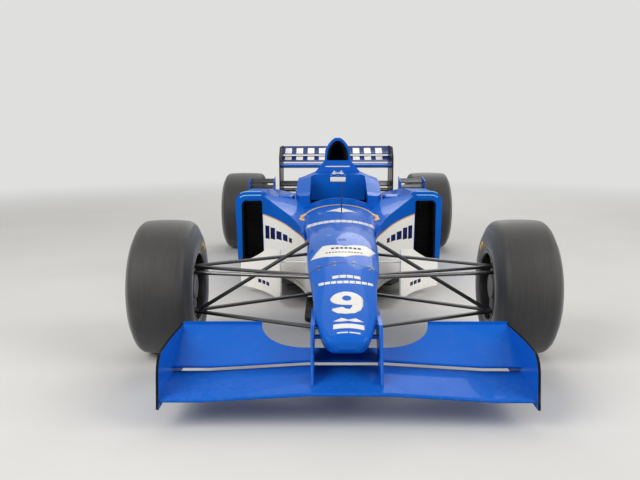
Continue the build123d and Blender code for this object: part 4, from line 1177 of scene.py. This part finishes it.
def turned(name, profile, centre, turn, material):
    """A turned piece about a line through a centre."""
    bm = bmesh.new()
    revolve(bm, profile, 40)
    finished(name, bm, material, at=centre, turn=turn)


def bellows(length, radius):
    """Section of a rubber boot that narrows to the shaft in five ribs."""
    outside = [(length * step / 10, radius + (0.020 - radius) * step / 10 + (0.0035 if step % 2 else -0.0015))
               for step in range(11)]
    return [(0.0, 0.0155)] + outside + [(length, 0.0155)]


HALF_TURN = Matrix.Rotation(math.pi, 4, "Z")
QUARTER_TURN = Matrix.Rotation(math.pi / 2, 4, "Z")
LIP = ((0.0, 0.0335), (0.0, 0.0362), (0.003, 0.0374), (0.006, 0.0362), (0.006, 0.0335))
CLAMP = ((0.0, 0.0338), (0.0, 0.0362), (0.016, 0.0362), (0.016, 0.0338))
for name, side in SIDES:
    outward, inward = (None, HALF_TURN) if side > 0 else (HALF_TURN, None)
    for boot, x, height, length, radius, turn in (("inner", 0.118, 0.3205, 0.085, 0.042, outward),
                                                  ("outer", 0.640, 0.3295, 0.075, 0.040, inward)):
        centre = (side * x, y_at(WHEELBASE), height)
        turned(f"{name}_{boot}_boot", bellows(length, radius), centre, turn, boot_rubber)
    turned(f"{name}_pipe_lip", LIP, (side * 0.195, y_at(2.9045), 0.300), QUARTER_TURN, exhaust_trim)
    turned(f"{name}_pipe_clamp", CLAMP, (side * 0.195, y_at(2.745), 0.300), QUARTER_TURN, machined)

# Flange and lid bolts of the gearbox
bm = bmesh.new()
flange = [(2.725, height) for height in (0.17, 0.24, 0.31, 0.38, 0.44)]
side_fixings(bm, bolt, ("gearbox",), flange, 0.007, 0.006)
lid = [(0.035, station) for station in (2.80, 2.90, 3.00, 3.10, 3.20)]
upright_fixings(bm, bolt, ("gearbox",), lid, DOWN, 0.006, 0.005)
finished("gearbox_bolts", bm, machined)


# Cockpit

STRAP_THICKNESS = 0.0022


def strap(bm, path, width, side=1):
    """Flat webbing along a path of (x, station, z), its width across the car."""
    points = [Vector((side * x, y_at(station), z)) for x, station, z in path]
    rows = []
    for index, point in enumerate(points):
        along = heading(points, index)
        across = (ACROSS - along * along.x).normalized()
        out = across.cross(along).normalized()
        rows.append([bm.verts.new(point + across * a * width / 2 + out * b * STRAP_THICKNESS / 2)
                     for a, b in ((-1, -1), (1, -1), (1, 1), (-1, 1))])
    bridge(bm, rows)


SHOULDER_BELT = ((0.078, 1.958, 0.540), (0.078, 1.945, 0.541), (0.077, 1.933, 0.530), (0.070, 1.860, 0.4205),
                 (0.058, 1.790, 0.3165), (0.040, 1.730, 0.2275), (0.028, 1.692, 0.182), (0.020, 1.640, 0.170))
LAP_BELT = ((0.150, 1.700, 0.205), (0.130, 1.672, 0.186), (0.085, 1.650, 0.176), (0.030, 1.628, 0.174))
bm = bmesh.new()
for side in BOTH:
    strap(bm, SHOULDER_BELT, 0.046, side)
    strap(bm, LAP_BELT, 0.044, side)
strap(bm, ((0, 1.500, 0.1660), (0, 1.545, 0.1675), (0, 1.605, 0.1700)), 0.046)
finished("harness", bm, belt)

bm = bmesh.new()
knob(bm, (0, y_at(1.622), 0.168), UP, (0, 0.012, 0.014), (0.028, 0.028, 0.022), 32)
for angle in ways(3):
    turn = Matrix.Rotation(angle, 4, "Z")
    middle = Vector((0, y_at(1.622), 0.183)) + turn @ Vector((0.011, 0, 0))
    block(bm, middle, (0.022, 0.007, 0.004), turn, 0.001)
for side in BOTH:
    block(bm, (side * 0.052, y_at(1.765), 0.281), (0.050, 0.010, 0.034),
          Matrix.Rotation(math.radians(-34), 4, "X"), 0.002)
finished("harness_buckle", bm, machined)

# Steering wheel: middle, tilt, and radii of the rim, of its tube and of its grips
WHEEL_PLACE = (0.0, y_at(1.470), 0.462)
ON_COLUMN = Matrix.Rotation(math.radians(18), 4, "X") @ QUARTER_TURN
HAND_RADIUS = 0.116
RIM_TUBE = 0.0128
GRIP_TUBE = 0.0155


def on_column(name, bm, material):
    """A piece of the steering wheel, made about the X axis."""
    return finished(name, bm, material, "steering_wheel", WHEEL_PLACE, ON_COLUMN)


bm = bmesh.new()
section = [(0.013 + RIM_TUBE * math.cos(turn), HAND_RADIUS + RIM_TUBE * math.sin(turn)) for turn in ways(14)]
revolve(bm, section, 72)
for start in (50, 230):
    grip = [about_x(0.013, HAND_RADIUS, math.radians(start + 80 * step / 12)) for step in range(13)]
    tube(bm, grip, [0.0133] + [GRIP_TUBE] * 11 + [0.0133], 14)
rim = on_column("steering_wheel_rim", bm, suede)
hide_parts("steering_wheel")
bm = bmesh.new()
block(bm, (0.013, 0, 0), (0.012, 0.150, 0.078), bevel=0.004)
for side in BOTH:
    block(bm, (0.013, side * 0.090, 0), (0.009, 0.040, 0.040), bevel=0.003)
    block(bm, (-0.004, side * 0.070, 0.018), (0.003, 0.060, 0.028), bevel=0.001)
tube(bm, ((-0.036, 0, 0), (0.008, 0, 0)), 0.024, 32)
tube(bm, ((-0.030, 0, 0), (-0.020, 0, 0)), 0.030, 32)
on_column("steering_wheel_middle", bm, carbon)
bm = bmesh.new()
for across in (-0.056, -0.036, 0.036, 0.056):
    for height in (-0.024, 0.024):
        knob(bm, (0.018, across, height), ACROSS, (0, 0.0045, 0.0055), (0.0055, 0.0055, 0.0040), 16)
on_column("steering_wheel_buttons", bm, button_red)
bm = bmesh.new()
block(bm, (0.0195, 0, 0.004), (0.002, 0.052, 0.026), bevel=0.0008)
on_column("steering_wheel_screen", bm, screen)

# Dash
bm = bmesh.new()
for x, height in ((0.080, 0.440), (0.110, 0.440), (0.110, 0.475)):
    for side in BOTH:
        knob(bm, (side * x, y_at(1.3135), height), REARWARD, (0, 0.012, 0.014), (0.009, 0.0085, 0.006), 20)
finished("dash_knobs", bm, satin_black)
bm = bmesh.new()
block(bm, (0, y_at(1.3160), 0.505), (0.130, 0.006, 0.052), bevel=0.002)
finished("dash_display", bm, screen)


# Camera, floor and light

PHOTO_WIDTH = 640
FOCAL_PIXELS = 724.6
SENSOR = 36.0
CAMERA_PLACE = (-0.0697, y_at(-3.4481), 1.1307)
CAMERA_PITCH = math.radians(9.503)
CAMERA_YAW = math.radians(-0.6744)
CAMERA_ROLL = math.radians(-0.1533)
# Name, place, diameter and power
LAMPS = (
    ("key_light", (-4.4, -5.0, 4.2), 5.0, 340),
    ("side_light", (5.2, -3.5, 3.8), 5.0, 250),
    ("top_light", (0.0, 3.2, 6.0), 6.0, 120),
    ("back_light", (1.5, 6.8, 4.2), 4.0, 110),
)
LAMPS_AIM = Vector((0, 0.2, 0.3))
BACKDROP = (0.74, 0.74, 0.73)
# Strength of the world as the camera sees it is 1, and this is its strength as light on the car
WORLD_LIGHT = 0.50


def add_camera():
    """A camera at the photograph's place, looking slightly down at the nose."""
    data = bpy.data.cameras.new("camera")
    data.sensor_width = SENSOR
    data.lens = FOCAL_PIXELS / PHOTO_WIDTH * SENSOR
    camera = linked("camera", data)
    aim = Matrix.Rotation(-CAMERA_YAW, 4, "Z") @ Matrix.Rotation(math.pi / 2 - CAMERA_PITCH, 4, "X")
    camera.matrix_world = Matrix.Translation(CAMERA_PLACE) @ aim @ Matrix.Rotation(CAMERA_ROLL, 4, "Z")
    bpy.context.scene.camera = camera


def floor_cloth():
    """Pale cloth that turns into the backdrop's colour far from the car."""
    finish = Finish("floor_cloth", {"Emission Color": (*BACKDROP, 1.0), "Specular IOR Level": 0.0})
    x, y, z = finish.axes()
    far = finish.ramp(finish.distance(x, y), 3.6, 9.5)
    finish.feed(finish.shader["Emission Strength"], finish.times(far, finish.seen()))
    color = finish.mix(finish.noise(1.3, 4), (0.60, 0.59, 0.57), (0.67, 0.66, 0.64))
    fuzz = finish.noise(260, 4)
    rough = finish.ramp(fuzz, 0.3, 0.7, 0.8, 0.95)
    return finish.surface(finish.mix(far, color, (0.0, 0.0, 0.0)), rough, fuzz, 0.0006)


def add_studio():
    """Pale floor, soft lamps and pale world."""
    bm = bmesh.new()
    bmesh.ops.create_grid(bm, x_segments=1, y_segments=1, size=40)
    mesh = bpy.data.meshes.new("studio_floor")
    bm.to_mesh(mesh)
    bm.free()
    mesh.materials.append(floor_cloth())
    linked("studio_floor", mesh)
    for name, place, size, power in LAMPS:
        data = bpy.data.lights.new(name, "AREA")
        data.shape = "DISK"
        data.size = size
        data.energy = power
        lamp = linked(name, data)
        lamp.location = place
        lamp.rotation_euler = (LAMPS_AIM - Vector(place)).to_track_quat("-Z", "Y").to_euler()
    world = bpy.data.worlds.new("studio_world")
    bpy.context.scene.world = world
    world.use_nodes = True
    sky = Nodes(world.node_tree)
    background = sky.tree.nodes["Background"].inputs
    sky.feed(background["Color"], BACKDROP)
    sky.feed(background["Strength"], sky.node("MapRange", {"Value": sky.seen(), "To Min": WORLD_LIGHT}))


add_camera()
add_studio()
bpy.context.scene.view_settings.view_transform = "Standard"
